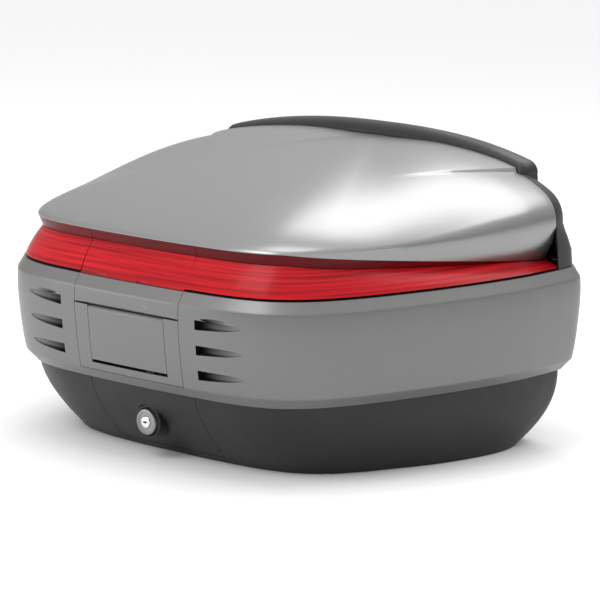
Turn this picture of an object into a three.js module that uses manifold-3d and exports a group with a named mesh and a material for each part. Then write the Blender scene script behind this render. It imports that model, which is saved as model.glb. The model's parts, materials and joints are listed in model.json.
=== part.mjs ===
// Motorcycle top case: a hinged two-shell luggage case with latch lever, pull handle, push lock and
// an underside receiver for a rack plate. Millimetres, +Z up, X across the bike, -Y the lock side.
import * as THREE from "three";
import { mergeVertices } from "three/addons/utils/BufferGeometryUtils.js";
import Module from "manifold-3d";

const wasm = await Module();
wasm.setup();

// ---------------------------------------------------------------- driving dimensions
const HALF_WIDTH = 297; // belly of the belt band, across the bike
const REAR_DEPTH = 218; // belly, from the middle to the lock side
const FRONT_DEPTH = 213; // belly, from the middle to the hinge side
const BELT_BOTTOM = 81.5; // lower edge of the belt band
const BELT_TOP = 195; // upper edge of the belt band, where the lid parts
const LID_EDGE_REAR = 241; // lid lower edge on the lock side
const LID_EDGE_FALL = 0.109; // the edge drops this much per millimetre towards the hinge
const LID_CROWN = 310; // top of the lid shell
const LID_CREST_Y = 178; // where the lid is highest
const BAR_TOP = 323; // top of the black bar
const WALL = 3; // plastic wall of the covers
const TUB_WALL = 4; // wall of the base tub
const PANEL_THICK = 1.8; // lock panel, set into the tub wall
const GAP = 0.3; // clearance between touching pieces
const SEAM = 0.6; // visible joint line between neighbouring panels
const CENTRE_HALF = 77.5; // half width of the lever, the surround and the lock panel
const FLAP_HALF = 56.2; // half width of the pull-handle flap
const FLAP_BOTTOM = 105; // lower edge of the flap
const LEVER_BOTTOM = 165.2; // joint line between the flap and the lever
const BAY_HALF = 80; // mechanism bay in the rear wall
const BAY_BACK = 42 - REAR_DEPTH; // inner face of the upper bay
const LOCK_Z = 40.6; // height of the lock axis
const LOCK_FRONT = 33.5 - REAR_DEPTH; // face of the lock housing
const LOCK_RADIUS = 14; // lock barrel
const PLUG_RADIUS = 6.3; // key plug
const BOLT_TRAVEL = 6; // rise of the release bolt when the lock barrel is pushed home
const PIN_RADIUS = 1.6; // lever and flap pins
const HINGE_Y = FRONT_DEPTH + 0.6; // lid hinge axis
const HINGE_Z = 199;
const HINGE_X = 130; // middle of each hinge
const HINGE_LENGTH = 40;
const KNUCKLE_RADIUS = 4.3;
const HINGE_PIN_RADIUS = 1.8;
const RECEIVER_HALF_X = 70; // recess for the rack plate
const RECEIVER_HALF_Y = 110;
const RECEIVER_ROOF = 12;
const RING_STEPS = 52; // points round every lofted ring
const FAR = HALF_WIDTH + REAR_DEPTH; // beyond every face of the case

// ---------------------------------------------------------------- outlines
// Right half of the belly outline, rear middle to front middle, as shares of width and depth.
const BELLY = [
  [0, -1], [0.26, -0.991], [0.488, -0.961], [0.633, -0.89], [0.741, -0.757], [0.818, -0.573],
  [0.882, -0.33], [0.933, -0.083], [0.976, 0.206], [1, 0.482], [1, 0.7], [0.982, 0.864],
  [0.91, 0.956], [0.74, 0.992], [0.4, 1], [0, 1],
];
// Right half of the outline that the base stands on, matched point for point.
const FLOOR = [
  [0, -0.647], [0.222, -0.642], [0.41, -0.615], [0.535, -0.56], [0.625, -0.462], [0.69, -0.33],
  [0.746, -0.165], [0.8, 0], [0.84, 0.19], [0.862, 0.415], [0.845, 0.57], [0.795, 0.69],
  [0.7, 0.765], [0.56, 0.815], [0.33, 0.845], [0, 0.85],
];

const shareToPoint = ([x, y]) => new THREE.Vector3(x * HALF_WIDTH, y * (y < 0 ? REAR_DEPTH : FRONT_DEPTH), 0);

function closedCurve(half) {
  const right = half.map(shareToPoint);
  const left = right.slice(1, -1).reverse().map((p) => new THREE.Vector3(-p.x, p.y, 0));
  return new THREE.CatmullRomCurve3([...right, ...left], true, "centripetal");
}

const bellyCurve = closedCurve(BELLY);
const floorCurve = closedCurve(FLOOR);

// One station of the case for each ring point: the belly point, its inward normal and the floor point.
const stations = Array.from({ length: RING_STEPS }, (_, i) => {
  const t = i / RING_STEPS;
  const tangent = bellyCurve.getTangent(t);
  return {
    belly: bellyCurve.getPoint(t),
    inward: new THREE.Vector3(-tangent.y, tangent.x, 0),
    floor: floorCurve.getPoint(t),
  };
});

// ---------------------------------------------------------------- solids
function toSolid(geometry) {
  const bare = geometry.index ? geometry.toNonIndexed() : geometry.clone();
  for (const name of Object.keys(bare.attributes)) if (name !== "position") bare.deleteAttribute(name);
  const merged = mergeVertices(bare, 1e-4);
  const mesh = { numProp: 3, vertProperties: merged.attributes.position.array, triVerts: merged.index.array };
  return new wasm.Manifold(new wasm.Mesh({ ...mesh, triVerts: new Uint32Array(mesh.triVerts) }));
}

function toGeometry(solid) {
  const mesh = solid.getMesh();
  const geometry = new THREE.BufferGeometry();
  geometry.setAttribute("position", new THREE.BufferAttribute(new Float32Array(mesh.vertProperties), 3));
  geometry.setIndex(new THREE.BufferAttribute(new Uint32Array(mesh.triVerts), 1));
  geometry.computeVertexNormals();
  return geometry;
}

// Triangles between two rings that run anticlockwise seen from above, the first below the second.
function bridge(index, count, from, to) {
  for (let i = 0; i < count; i += 1) {
    const j = (i + 1) % count;
    index.push(from + i, from + j, to + j, from + i, to + j, to + i);
  }
}

function capTriangles(ring) {
  return THREE.ShapeUtils.triangulateShape(ring.map((p) => new THREE.Vector2(p.x, p.y)), []);
}

function ringGeometry(rings, closed) {
  const count = rings[0].length;
  const index = [];
  for (let k = 0; k + 1 < rings.length; k += 1) bridge(index, count, k * count, (k + 1) * count);
  if (closed) {
    bridge(index, count, (rings.length - 1) * count, 0);
  } else {
    const last = (rings.length - 1) * count;
    for (const [a, b, c] of capTriangles(rings[0])) index.push(c, b, a);
    for (const [a, b, c] of capTriangles(rings.at(-1))) index.push(last + a, last + b, last + c);
  }
  const geometry = new THREE.BufferGeometry();
  const flat = rings.flat().flatMap((p) => [p.x, p.y, p.z]);
  geometry.setAttribute("position", new THREE.BufferAttribute(new Float32Array(flat), 3));
  geometry.setIndex(index);
  return geometry;
}

// A solid through a stack of rings, capped at both ends.
const stack = (rings) => toSolid(ringGeometry(rings, false));
// A hoop whose section is the loop of rings.
const hoop = (rings) => toSolid(ringGeometry(rings, true));

function box(x0, x1, y0, y1, z0, z1) {
  const geometry = new THREE.BoxGeometry(x1 - x0, y1 - y0, z1 - z0);
  return toSolid(geometry.translate((x0 + x1) / 2, (y0 + y1) / 2, (z0 + z1) / 2));
}

function rodX(x0, x1, y, z, radius, sides = 24) {
  const geometry = new THREE.CylinderGeometry(radius, radius, x1 - x0, sides).rotateZ(Math.PI / 2);
  return toSolid(geometry.translate((x0 + x1) / 2, y, z));
}

function rodY(x, y0, y1, z, radius, sides = 32) {
  const geometry = new THREE.CylinderGeometry(radius, radius, y1 - y0, sides);
  return toSolid(geometry.translate(x, (y0 + y1) / 2, z));
}

function rodZ(x, y, z0, z1, radius, sides = 24) {
  const geometry = new THREE.CylinderGeometry(radius, radius, z1 - z0, sides).rotateX(Math.PI / 2);
  return toSolid(geometry.translate(x, y, (z0 + z1) / 2));
}

// An upright prism over a plan outline, given as [x, y] points.
function prism(points, z0, z1) {
  const shape = new THREE.Shape(points.map(([x, y]) => new THREE.Vector2(x, y)));
  const geometry = new THREE.ExtrudeGeometry(shape, { depth: z1 - z0, bevelEnabled: false });
  return toSolid(geometry.translate(0, 0, z0));
}

const join = (...solids) => solids.reduce((a, b) => a.add(b));
const cut = (solid, ...tools) => tools.reduce((a, b) => a.subtract(b), solid);
const both = (action) => [action(-1), action(1)];

// ---------------------------------------------------------------- rings
const insetPoint = (s, inset, z) =>
  new THREE.Vector3(s.belly.x + s.inward.x * inset, s.belly.y + s.inward.y * inset, z);

// inset and z may each be a number or a function of the station.
const at = (value, s) => (typeof value === "function" ? value(s) : value);
const ring = (inset, z) => stations.map((s) => insetPoint(s, at(inset, s), at(z, s)));
const rings = (profile) => profile.map(([inset, z]) => ring(inset, z));
const plate = (inset, z0, z1) => stack([ring(inset, z0), ring(inset, z1)]);

const smooth = (value, from, to) => THREE.MathUtils.smoothstep(value, from, to);

// ---------------------------------------------------------------- belt band profile
const CHAMFER_LOW = 11.5; // height of the lower chamfer strip
const CHAMFER_TOP = 12; // height of the upper chamfer strip
const BELT_LOW_INSET = 20;
const BELT_TOP_INSET = 8.5;
const BELT_SHOULDER_INSET = 1;
const beltLevel = (share) => BELT_BOTTOM + share * (BELT_TOP - BELT_BOTTOM);
const beltProfile = (extra) => [
  [BELT_LOW_INSET + extra, BELT_BOTTOM],
  [8.7 + extra, BELT_BOTTOM + CHAMFER_LOW],
  [3.7 + extra, beltLevel(0.37)],
  [1 + extra, beltLevel(0.62)],
  [0.3 + extra, beltLevel(0.78)],
  [BELT_SHOULDER_INSET + extra, BELT_TOP - CHAMFER_TOP],
  [BELT_TOP_INSET + extra, BELT_TOP],
];
const beltShell = () => hoop(rings([...beltProfile(0), ...beltProfile(WALL).reverse()]));
const beltCore = () => stack(rings(beltProfile(0)));

// ---------------------------------------------------------------- base tub profile
const TUB_TOP = BELT_TOP - 5.5; // rim that carries the seal
const BASE_TOP = BELT_BOTTOM - 0.5; // where the visible base meets the belt band
const BASE_INSET = BELT_LOW_INSET + WALL + SEAM;
const FLOOR_THICK = 3.5;
const RIM_OUTER = BELT_SHOULDER_INSET + WALL + (BELT_TOP_INSET - BELT_SHOULDER_INSET) * 0.54 + 0.5;
const RIM_INNER = 18.5;

// The base tucks in under the belt: softly at the lock side, later and rounder at the sides.
function basePoint(s, z, extra) {
  const power = 1.5 + 0.8 * smooth(s.belly.y, -0.9 * REAR_DEPTH, -0.1 * REAR_DEPTH);
  const share = ((BASE_TOP - z) / BASE_TOP) ** power;
  const top = insetPoint(s, BASE_INSET, z);
  const point = top.lerp(new THREE.Vector3(s.floor.x, s.floor.y, z), share);
  return point.addScaledVector(s.inward, extra);
}
const baseRing = (z, extra) => stations.map((s) => basePoint(s, z, extra));
const BASE_SHARES = [0, 0.045, 0.13, 0.27, 0.48, 0.73, 1];
const baseRings = (extra) => BASE_SHARES.map((share) => baseRing(share * BASE_TOP, extra));
const baseSolid = (extra) => stack(baseRings(extra));

const wallProfile = (extra, top) => [
  [BASE_INSET - 3 + extra, BELT_BOTTOM + 13.5],
  [12.5 + extra, beltLevel(0.5)],
  [11 + extra, top],
];
const tubOuterRings = () => [
  ...baseRings(0),
  ...rings([...wallProfile(0, TUB_TOP - 6), [RIM_OUTER, TUB_TOP - 2], [RIM_OUTER, TUB_TOP]]),
];

// The inner face of the tub, from the rim down, drawn in by a clearance.
function tubInnerRings(clear) {
  const rim = [[RIM_INNER + clear, TUB_TOP], [RIM_INNER + clear, TUB_TOP - 4]];
  const wall = wallProfile(TUB_WALL + clear, TUB_TOP - 4).reverse();
  const low = [0.97, 0.62, 0.36, 0.16, 0.045, 0].map((share) => {
    const z = FLOOR_THICK + share * (BASE_TOP - FLOOR_THICK);
    return stations.map((s) => basePoint(s, z - FLOOR_THICK * (1 - share), TUB_WALL + clear).setZ(z));
  });
  return [...rings([...rim, ...wall]), ...low];
}

// ---------------------------------------------------------------- mechanism bay and lock
const LOWER_BAY_HALF = 34; // pocket behind the lock
const LOWER_BAY_BACK = 88 - REAR_DEPTH;
const LOWER_BAY = [15, 76];
const UPPER_BAY_BOTTOM = 62;
const OUTSIDE = -REAR_DEPTH - 20; // clear of the rear wall
const REAR_ZONE = 68 - REAR_DEPTH; // the lever, the flap and their seats lie behind this plane
const HOUSING_RADIUS = LOCK_RADIUS + 4.5;
const HOUSING_BACK = 71 - REAR_DEPTH;
const PANEL_BOTTOM = 8;
const WINDOW = [14, 60]; // service windows in the bay's back wall, either side of the bolt
const COVER_HALF = 72;
const COVER_THICK = 2.5;
const COVER_Y = BAY_BACK + TUB_WALL + GAP;
const COVER_Z = [LOWER_BAY[1] + TUB_WALL + 1, beltLevel(0.88)];
const WINDOW_Z = [COVER_Z[0] + 12, COVER_Z[1] - 10];
const COVER_SCREW = [COVER_HALF - 6, 6]; // place from the middle, and in from the cover's ends
const SCREW_RADIUS = 2.2;
const SCREW_HEAD = 3.6;

function bayWalls() {
  const upper = box(-BAY_HALF - TUB_WALL, BAY_HALF + TUB_WALL, OUTSIDE, BAY_BACK + TUB_WALL,
    UPPER_BAY_BOTTOM - TUB_WALL, TUB_TOP);
  const lower = box(-LOWER_BAY_HALF - TUB_WALL, LOWER_BAY_HALF + TUB_WALL, OUTSIDE, LOWER_BAY_BACK + TUB_WALL,
    LOWER_BAY[0] - TUB_WALL, LOWER_BAY[1] + TUB_WALL);
  return upper.add(lower);
}

function bayCavity() {
  const upper = box(-BAY_HALF, BAY_HALF, OUTSIDE, BAY_BACK, BASE_TOP, TUB_TOP + 1);
  const step = box(-BAY_HALF, BAY_HALF, BAY_BACK - 9, BAY_BACK, UPPER_BAY_BOTTOM, BASE_TOP + 1);
  const lower = box(-LOWER_BAY_HALF, LOWER_BAY_HALF, BAY_BACK - 4, LOWER_BAY_BACK, ...LOWER_BAY);
  const inside = lower.add(step).intersect(baseSolid(TUB_WALL));
  return upper.add(inside);
}

const panelZone = (clear) => box(-CENTRE_HALF - clear, CENTRE_HALF + clear, OUTSIDE, -0.4 * REAR_DEPTH,
  PANEL_BOTTOM - clear, BASE_TOP + 1);

const RECEIVER_TOP = RECEIVER_ROOF + TUB_WALL - 0.5; // top of the well over the receiver
const WELL_FOOT = 1; // the well's walls end this far above the underside
const wellBlock = (grow, z0, z1) => box(-RECEIVER_HALF_X - grow, RECEIVER_HALF_X + grow,
  -RECEIVER_HALF_Y - grow, RECEIVER_HALF_Y + grow, z0, z1);

const panelSeat = () => panelZone(SEAM).subtract(baseSolid(PANEL_THICK + GAP));
const lockHole = () => rodY(0, OUTSIDE, REAR_ZONE, LOCK_Z, HOUSING_RADIUS + GAP);

const tubShell = () => stack([...tubOuterRings(), ...tubInnerRings(0)]).subtract(bayCavity());
const slab = (z0, z1) => box(-FAR, FAR, -FAR, FAR, z0, z1);
// Everything on one side of the middle, short of it by half a clearance.
const sideBlock = (side) => box(side < 0 ? -FAR : GAP / 2, side < 0 ? -GAP / 2 : FAR, -FAR, FAR, -1, FAR);

// The tub is a bowl and, above it, two wall halves that the belt band wraps.
const baseTub = () => cut(tubShell(), slab(BASE_TOP, FAR), wellBlock(TUB_WALL + GAP, -1, RECEIVER_TOP),
  panelSeat(), lockHole());
const tubWall = (side) => cut(tubShell().intersect(sideBlock(side)), slab(-1, BASE_TOP + GAP),
  ...baseScrewHoles());

// The mechanism bay is a box moulding let into the rear of the tub.
function bayBox() {
  const windows = both((side) => {
    const [x0, x1] = side < 0 ? [-WINDOW[1], -WINDOW[0]] : WINDOW;
    return box(x0, x1, BAY_BACK - 1, BAY_BACK + TUB_WALL + 1, ...WINDOW_Z);
  });
  const room = stack(tubInnerRings(GAP).reverse());
  return cut(bayWalls().intersect(room), bayCavity(), ...windows, lockHole(),
    wellBlock(TUB_WALL + GAP, -1, RECEIVER_TOP + GAP), ...coverScrewPlaces().map(([x, z]) =>
      rodY(x, BAY_BACK - 1, BAY_BACK + TUB_WALL + 1, z, SCREW_RADIUS + GAP, 16)));
}

// The receiver's well stands up through the tub's floor.
const receiverWell = () => cut(wellBlock(TUB_WALL, WELL_FOOT, RECEIVER_TOP), wellBlock(0, -1, RECEIVER_ROOF),
  ...receiverScrewHoles());

function lockPanel() {
  const skin = cut(baseSolid(0), baseSolid(PANEL_THICK));
  return cut(skin.intersect(panelZone(0)).intersect(slab(PANEL_BOTTOM, BASE_TOP - 0.4)),
    rodY(0, OUTSIDE, 0, LOCK_Z, HOUSING_RADIUS + GAP));
}

const lockHousing = () => cut(rodY(0, LOCK_FRONT, HOUSING_BACK, LOCK_Z, HOUSING_RADIUS),
  rodY(0, LOCK_FRONT - 1, HOUSING_BACK + 1, LOCK_Z, LOCK_RADIUS + GAP));

const BARREL_FRONT = LOCK_FRONT - 3;
const BARREL_BACK = HOUSING_BACK - 1.5;
const lockBarrel = () => cut(rodY(0, BARREL_FRONT, BARREL_BACK, LOCK_Z, LOCK_RADIUS),
  rodY(0, BARREL_FRONT - 1, BARREL_BACK + 1, LOCK_Z, PLUG_RADIUS + GAP));

const PLUG_BACK = BARREL_BACK + 2;
const KEY_SLOT = [3.6, 0.6]; // half width and half height
const keyPlug = () => cut(rodY(0, BARREL_FRONT - 0.8, PLUG_BACK, LOCK_Z, PLUG_RADIUS),
  box(-KEY_SLOT[0], KEY_SLOT[0], BARREL_FRONT - 2, BARREL_FRONT + 8,
    LOCK_Z - KEY_SLOT[1], LOCK_Z + KEY_SLOT[1]));
const lockCam = () => box(-5, 16, PLUG_BACK + GAP, PLUG_BACK + GAP + 2.5, LOCK_Z - 5, LOCK_Z + 5);

const coverScrewPlaces = () => [COVER_Z[0] + COVER_SCREW[1], COVER_Z[1] - COVER_SCREW[1]].flatMap((z) =>
  [-COVER_SCREW[0], COVER_SCREW[0]].map((x) => [x, z]));

const mechanismCover = () => cut(box(-COVER_HALF, COVER_HALF, COVER_Y, COVER_Y + COVER_THICK, ...COVER_Z),
  ...coverScrewPlaces().map(([x, z]) =>
    rodY(x, COVER_Y - 1, COVER_Y + COVER_THICK + 1, z, SCREW_RADIUS + GAP, 16)));

function coverScrew([x, z]) {
  const face = COVER_Y + COVER_THICK + GAP;
  const head = rodY(x, face, face + 2, z, SCREW_HEAD, 12);
  return head.add(rodY(x, BAY_BACK + 0.5, face + 1, z, SCREW_RADIUS, 12));
}

// ---------------------------------------------------------------- belt band, surround, flap, lever
const LEVER_AXIS = [6 - REAR_DEPTH, LEVER_BOTTOM + 5.4];
const LEVER_BARREL = 5.1;
const FLAP_AXIS = [5.8 - REAR_DEPTH, LEVER_BOTTOM - 5.6];
const FLAP_BARREL = 4.9;
const FINGER_GAP = 3.5; // under the flap's lower edge
const EAR = 5; // width of the ears that hold the pins
const LOUVRE_INNER = 100; // inner, deep end of each louvre
const LOUVRE_LENGTH = 58;
const LOUVRE_HEIGHT = 10;
const LOUVRE_DEPTH = 6;
const LOUVRE_Z = [110, 137, 164];

// A louvre is a wedge-shaped hollow: deep and square at its inner end, running out to a point.
function louvreWedge(side, z, swell) {
  const x0 = LOUVRE_INNER - swell;
  const x1 = LOUVRE_INNER + LOUVRE_LENGTH;
  const half = LOUVRE_HEIGHT / 2 + swell;
  const y = (x) => louvreFace(x) - 6;
  const outline = [
    [x0, y(x0)], [x1, y(x1)], [x1, louvreFace(x1) + swell], [x0, louvreFace(x0) + LOUVRE_DEPTH + swell],
  ];
  const points = side > 0 ? outline : outline.map(([x, yy]) => [-x, yy]).reverse();
  return prism(points, z - half, z + half);
}

// Where the belt's rear face stands at a distance from the middle.
function louvreFace(x) {
  const after = stations.findIndex((s) => s.belly.x > x);
  const [a, b] = [stations[after - 1].belly, stations[after].belly];
  return THREE.MathUtils.mapLinear(x, a.x, b.x, a.y, b.y) + 1.5;
}

// The belt band is two mouldings that meet in the middle, at the front and under the handle.
function beltBand(side) {
  const opening = box(-CENTRE_HALF - SEAM / 2, CENTRE_HALF + SEAM / 2, OUTSIDE, -0.8 * REAR_DEPTH,
    BELT_BOTTOM + CHAMFER_LOW, BELT_TOP + 1);
  const core = beltCore();
  let band = cut(beltShell(), opening);
  for (const level of LOUVRE_Z) {
    band = band.add(louvreWedge(side, level, 1.5).intersect(core));
    band = cut(band, louvreWedge(side, level, 0));
  }
  const [y, z] = LEVER_AXIS;
  const [x0, x1] = [CENTRE_HALF + SEAM / 2, CENTRE_HALF + SEAM / 2 + EAR];
  const ear = box(side < 0 ? -x1 : x0, side < 0 ? -x0 : x1, y - 5, y + 4.5, z - 5, z + 5);
  return cut(band.add(ear.intersect(core)), pinBore(CENTRE_HALF + EAR + 1, LEVER_AXIS), ...baseScrewHoles())
    .intersect(sideBlock(side));
}

function handleSurround() {
  const top = LEVER_BOTTOM - 0.4;
  const zone = box(-CENTRE_HALF + SEAM / 2, CENTRE_HALF - SEAM / 2, OUTSIDE, -0.8 * REAR_DEPTH,
    BELT_BOTTOM + CHAMFER_LOW + SEAM, top);
  const hole = box(-FLAP_HALF - SEAM, FLAP_HALF + SEAM, OUTSIDE, -0.8 * REAR_DEPTH,
    FLAP_BOTTOM - FINGER_GAP, FAR);
  const [y, z] = FLAP_AXIS;
  const ears = both((side) => {
    const [x0, x1] = [FLAP_HALF + SEAM, FLAP_HALF + SEAM + EAR];
    return box(side < 0 ? -x1 : x0, side < 0 ? -x0 : x1, y - 5, y + 5, z - 6, top).intersect(beltCore());
  });
  return cut(join(cut(beltShell().intersect(zone), hole), ...ears),
    pinBore(FLAP_HALF + SEAM + EAR + 1, FLAP_AXIS));
}

function handleFlap() {
  const [y, z] = FLAP_AXIS;
  const panel = beltShell().intersect(box(-FLAP_HALF, FLAP_HALF, OUTSIDE, REAR_ZONE, FLAP_BOTTOM, z));
  const barrel = rodX(-FLAP_HALF, FLAP_HALF, y, z, FLAP_BARREL);
  const lip = box(-FLAP_HALF, FLAP_HALF, OUTSIDE, -REAR_DEPTH + 14, FLAP_BOTTOM, FLAP_BOTTOM + 2.6);
  return cut(join(panel, barrel.intersect(beltCore()), lip.intersect(beltCore())),
    pinBore(FLAP_HALF + 1, FLAP_AXIS));
}

// A soft pad for the fingers, on the back of the flap.
const GRIP_Z = [FLAP_BOTTOM + 4, FLAP_BOTTOM + 16];
const GRIP_END = 5; // from the end of the flap
const flapGrip = () => hoop(rings([[9.4, GRIP_Z[0]], [7.6, GRIP_Z[1]], [12, GRIP_Z[1]], [14, GRIP_Z[0]]]))
  .intersect(box(-FLAP_HALF + GRIP_END, FLAP_HALF - GRIP_END, OUTSIDE, REAR_ZONE, 0, FAR));

function leverStrip() {
  const [y, z] = LEVER_AXIS;
  const half = CENTRE_HALF - SEAM / 2;
  const strip = beltShell().intersect(box(-half, half, OUTSIDE, REAR_ZONE, z, BELT_TOP + 1));
  return cut(join(strip, rodX(-half, half, y, z, LEVER_BARREL).intersect(beltCore())),
    pinBore(half + 1, LEVER_AXIS));
}

const HOOK = { inner: 30, outer: 44, tip: 31 - REAR_DEPTH, bottom: BELT_TOP + 4, top: BELT_TOP + 7.5 };
const HOOK_POST = [LEVER_AXIS[0] + 12.6, LEVER_AXIS[0] + 15.5]; // front and back of each hook's upright
const TAIL_END = 37 - REAR_DEPTH; // inner end of the tail that the release bolt pushes
const TAIL_HALF = 8;
const WEB_END = 8; // from the end of the lever
const WEB_THICK = 2.8;
const WEB_TOP = BELT_TOP - 2.4;

function leverFrame() {
  const [y, z] = LEVER_AXIS;
  const foot = z + LEVER_BARREL + 0.4;
  const face = BELT_SHOULDER_INSET + WALL + GAP;
  const web = hoop(rings([
    [face, foot], [face + 0.2, BELT_TOP - CHAMFER_TOP], [face + 6.4, WEB_TOP],
    [face + 6.4 + WEB_THICK, WEB_TOP], [face + 0.2 + WEB_THICK, BELT_TOP - CHAMFER_TOP],
    [face + WEB_THICK, foot],
  ])).intersect(box(-CENTRE_HALF + WEB_END, CENTRE_HALF - WEB_END, OUTSIDE, REAR_ZONE, 0, FAR));
  const hooks = both((side) => {
    const [x0, x1] = side < 0 ? [-HOOK.outer, -HOOK.inner] : [HOOK.inner, HOOK.outer];
    return join(
      box(x0, x1, y + 6, HOOK_POST[1], BELT_TOP - 6, WEB_TOP),
      box(x0, x1, ...HOOK_POST, BELT_TOP - 6, HOOK.top),
      box(x0, x1, HOOK_POST[0], HOOK.tip, HOOK.bottom, HOOK.top),
    );
  });
  const tail = box(-TAIL_HALF, TAIL_HALF, y + 5.4, TAIL_END, z + 1, z + 4);
  const post = box(-TAIL_HALF, TAIL_HALF, y + 5.4, y + 9, z + 1, z + 9);
  const root = box(-TAIL_HALF, TAIL_HALF, y + 0.5, y + 9, z + 6, z + 9);
  return join(web, ...hooks, tail, post, root);
}

function releaseBolt() {
  const back = BAY_BACK - GAP;
  const top = LEVER_AXIS[1] + 1 - GAP - BOLT_TRAVEL;
  const bar = box(-6, 6, back - 3, back, LOCK_Z + HOUSING_RADIUS + 0.8, top);
  return bar.add(box(-6, 6, TAIL_END - 8, back, top - 3, top));
}

const axisPin = (half, [y, z]) => rodX(-half, half, y, z, PIN_RADIUS, 16);
const pinBore = (half, [y, z]) => rodX(-half, half, y, z, PIN_RADIUS + GAP, 16);

// ---------------------------------------------------------------- lid
const LID_EQUATOR = LID_EDGE_REAR + 1; // height at which the lid is widest
const SPLIT_REAR = 182; // the black front section starts here in the middle
const SPLIT_SAG = 30; // and this much nearer the lock side at the flanks
const LENS_BOTTOM = BELT_TOP + SEAM;
const LENS_TOP_INSET = 28.7;
const FLANGE = [TUB_TOP + 3.8, TUB_TOP + 5.8]; // lid frame flange over the seal
const FLANGE_OUTER = 13.3;
const FRAME_WALL = [32, 36.5];

const lidEdgeZ = (s) => {
  const fall = LID_EDGE_FALL * Math.max(s.belly.y + 0.86 * REAR_DEPTH, 0);
  return Math.max(LID_EDGE_REAR - fall, BELT_TOP + 9.5);
};
const lensTopZ = (s) => {
  const z = lidEdgeZ(s);
  return z - 1.2 - 10.8 * smooth(z, BELT_TOP + 9, LID_EDGE_REAR);
};
const equatorInset = (s) => {
  const { x, y } = s.belly;
  const corner = 8 * smooth(y, 0.7 * FRONT_DEPTH, 0.92 * FRONT_DEPTH) * smooth(Math.abs(x), 120, 230);
  return 24 - 10 * smooth(y, -0.92 * REAR_DEPTH, 0.6 * FRONT_DEPTH) + corner;
};
const edgeInset = (s) => equatorInset(s) + 17 * ((LID_EQUATOR - lidEdgeZ(s)) / 37) ** 1.6;
const tuckInset = (s) => equatorInset(s) + 17 * ((LID_EQUATOR - lidEdgeZ(s)) / 74) ** 1.6;
const tuckZ = (s) => (lidEdgeZ(s) + LID_EQUATOR) / 2;

// The lid rises evenly towards the crest from the lock side and is full and square at the flanks.
function lidFullness(dx, dy) {
  const angle = THREE.MathUtils.radToDeg(Math.atan2(dy, Math.abs(dx)));
  return 1.5 + 1.1 * smooth(angle, -55, -5) + 2.4 * smooth(angle, 5, 60);
}

function domeRing(share, inward) {
  return stations.map((s) => {
    const rim = insetPoint(s, equatorInset(s) + inward, LID_EQUATOR);
    const power = lidFullness(rim.x, rim.y - LID_CREST_Y);
    const rise = (1 - (1 - share) ** power) ** (1 / power);
    return new THREE.Vector3(rim.x * (1 - share), THREE.MathUtils.lerp(rim.y, LID_CREST_Y, share),
      LID_EQUATOR + (LID_CROWN - inward - LID_EQUATOR) * rise);
  });
}

const OUTER_SHARES = [0, 0.006, 0.03, 0.08, 0.17, 0.31, 0.5, 0.74, 0.95];
const INNER_SHARES = [0, 0.02, 0.1, 0.31, 0.6, 0.92];
const domeOuter = (grow) => OUTER_SHARES.map((share) => domeRing(share, -grow));
const domeInner = () => INNER_SHARES.map((share) => domeRing(share, WALL)).reverse();
const domeSolid = (grow) => stack([ring((s) => edgeInset(s) - grow, lidEdgeZ), ...domeOuter(grow)]);

const splitY = (x) => SPLIT_REAR - SPLIT_SAG * (x / (0.943 * HALF_WIDTH)) ** 2;
function splitPrism(front, clear) {
  const far = front ? FRONT_DEPTH + 50 : -REAR_DEPTH - 50;
  const steps = 14;
  const curve = Array.from({ length: steps + 1 }, (_, i) => {
    const x = THREE.MathUtils.lerp(-1, 1, i / steps) * (HALF_WIDTH + 10);
    return [x, splitY(x) + (front ? clear : -clear)];
  });
  return prism([...curve, [HALF_WIDTH + 10, far], [-HALF_WIDTH - 10, far]], 0, FAR);
}

function lidShell() {
  const skin = stack([
    ...domeInner(),
    ring((s) => tuckInset(s) + WALL, tuckZ),
    ring((s) => edgeInset(s) + WALL, lidEdgeZ),
    ring(edgeInset, lidEdgeZ),
    ring(tuckInset, tuckZ),
    ...domeOuter(0),
  ]);
  const frontWall = box(-0.67 * HALF_WIDTH, 0.67 * HALF_WIDTH, 0.7 * FRONT_DEPTH, FAR, 0, LID_EQUATOR + 18);
  return cut(skin.intersect(splitPrism(false, 0)), frontWall);
}

const SKIRT = [[9.8, LENS_BOTTOM], [10.5, BELT_TOP + 11]];
function lidFront() {
  const waist = (extra) => ring((s) => 12 + 0.4 * (equatorInset(s) - 14) + extra, BELT_TOP + 31);
  const skin = stack([
    ...domeInner(),
    waist(WALL),
    ...rings(SKIRT.map(([inset, z]) => [inset + WALL, z]).reverse()),
    ...rings(SKIRT),
    waist(0),
    ...domeOuter(0),
  ]);
  const pads = both((side) => box(side * HINGE_X - HINGE_LENGTH * 0.28, side * HINGE_X + HINGE_LENGTH * 0.28,
    FRONT_DEPTH - 9.8 - WALL, LID_LEAF_FACE - GAP, SKIRT[1][1] - 4, LID_LEAF_TOP + 3));
  return cut(join(skin.intersect(splitPrism(true, SEAM)), ...pads), ...both((side) =>
    rodY(side * HINGE_X, 0.5 * FRONT_DEPTH, FAR, LID_SCREW_Z, SCREW_RADIUS + GAP, 16)));
}

const BAR_HALF = 225;
const BAR_DROP = 17;
const BAR_FRONT = FRONT_DEPTH - 13; // the bar's ridge in the middle
const BAR_SWEEP = 12; // how far the ridge falls back at its ends
const barSpine = (x) => [BAR_FRONT - BAR_SWEEP * (x / BAR_HALF) ** 2,
  BAR_TOP - BAR_DROP * (Math.abs(x) / 200) ** 2.5];

function barSection(x) {
  const [y, z] = barSpine(x);
  const rear = splitY(x) + SEAM;
  const outline = [
    [rear, z - 26], [rear, z - 11], [rear + 6, z - 2.5], [y - 3, z],
    [y + 3, z - 2], [y + 6, z - 9], [y + 6, z - 26],
  ];
  return outline.map(([yy, zz]) => new THREE.Vector3(x, yy, zz));
}

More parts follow.
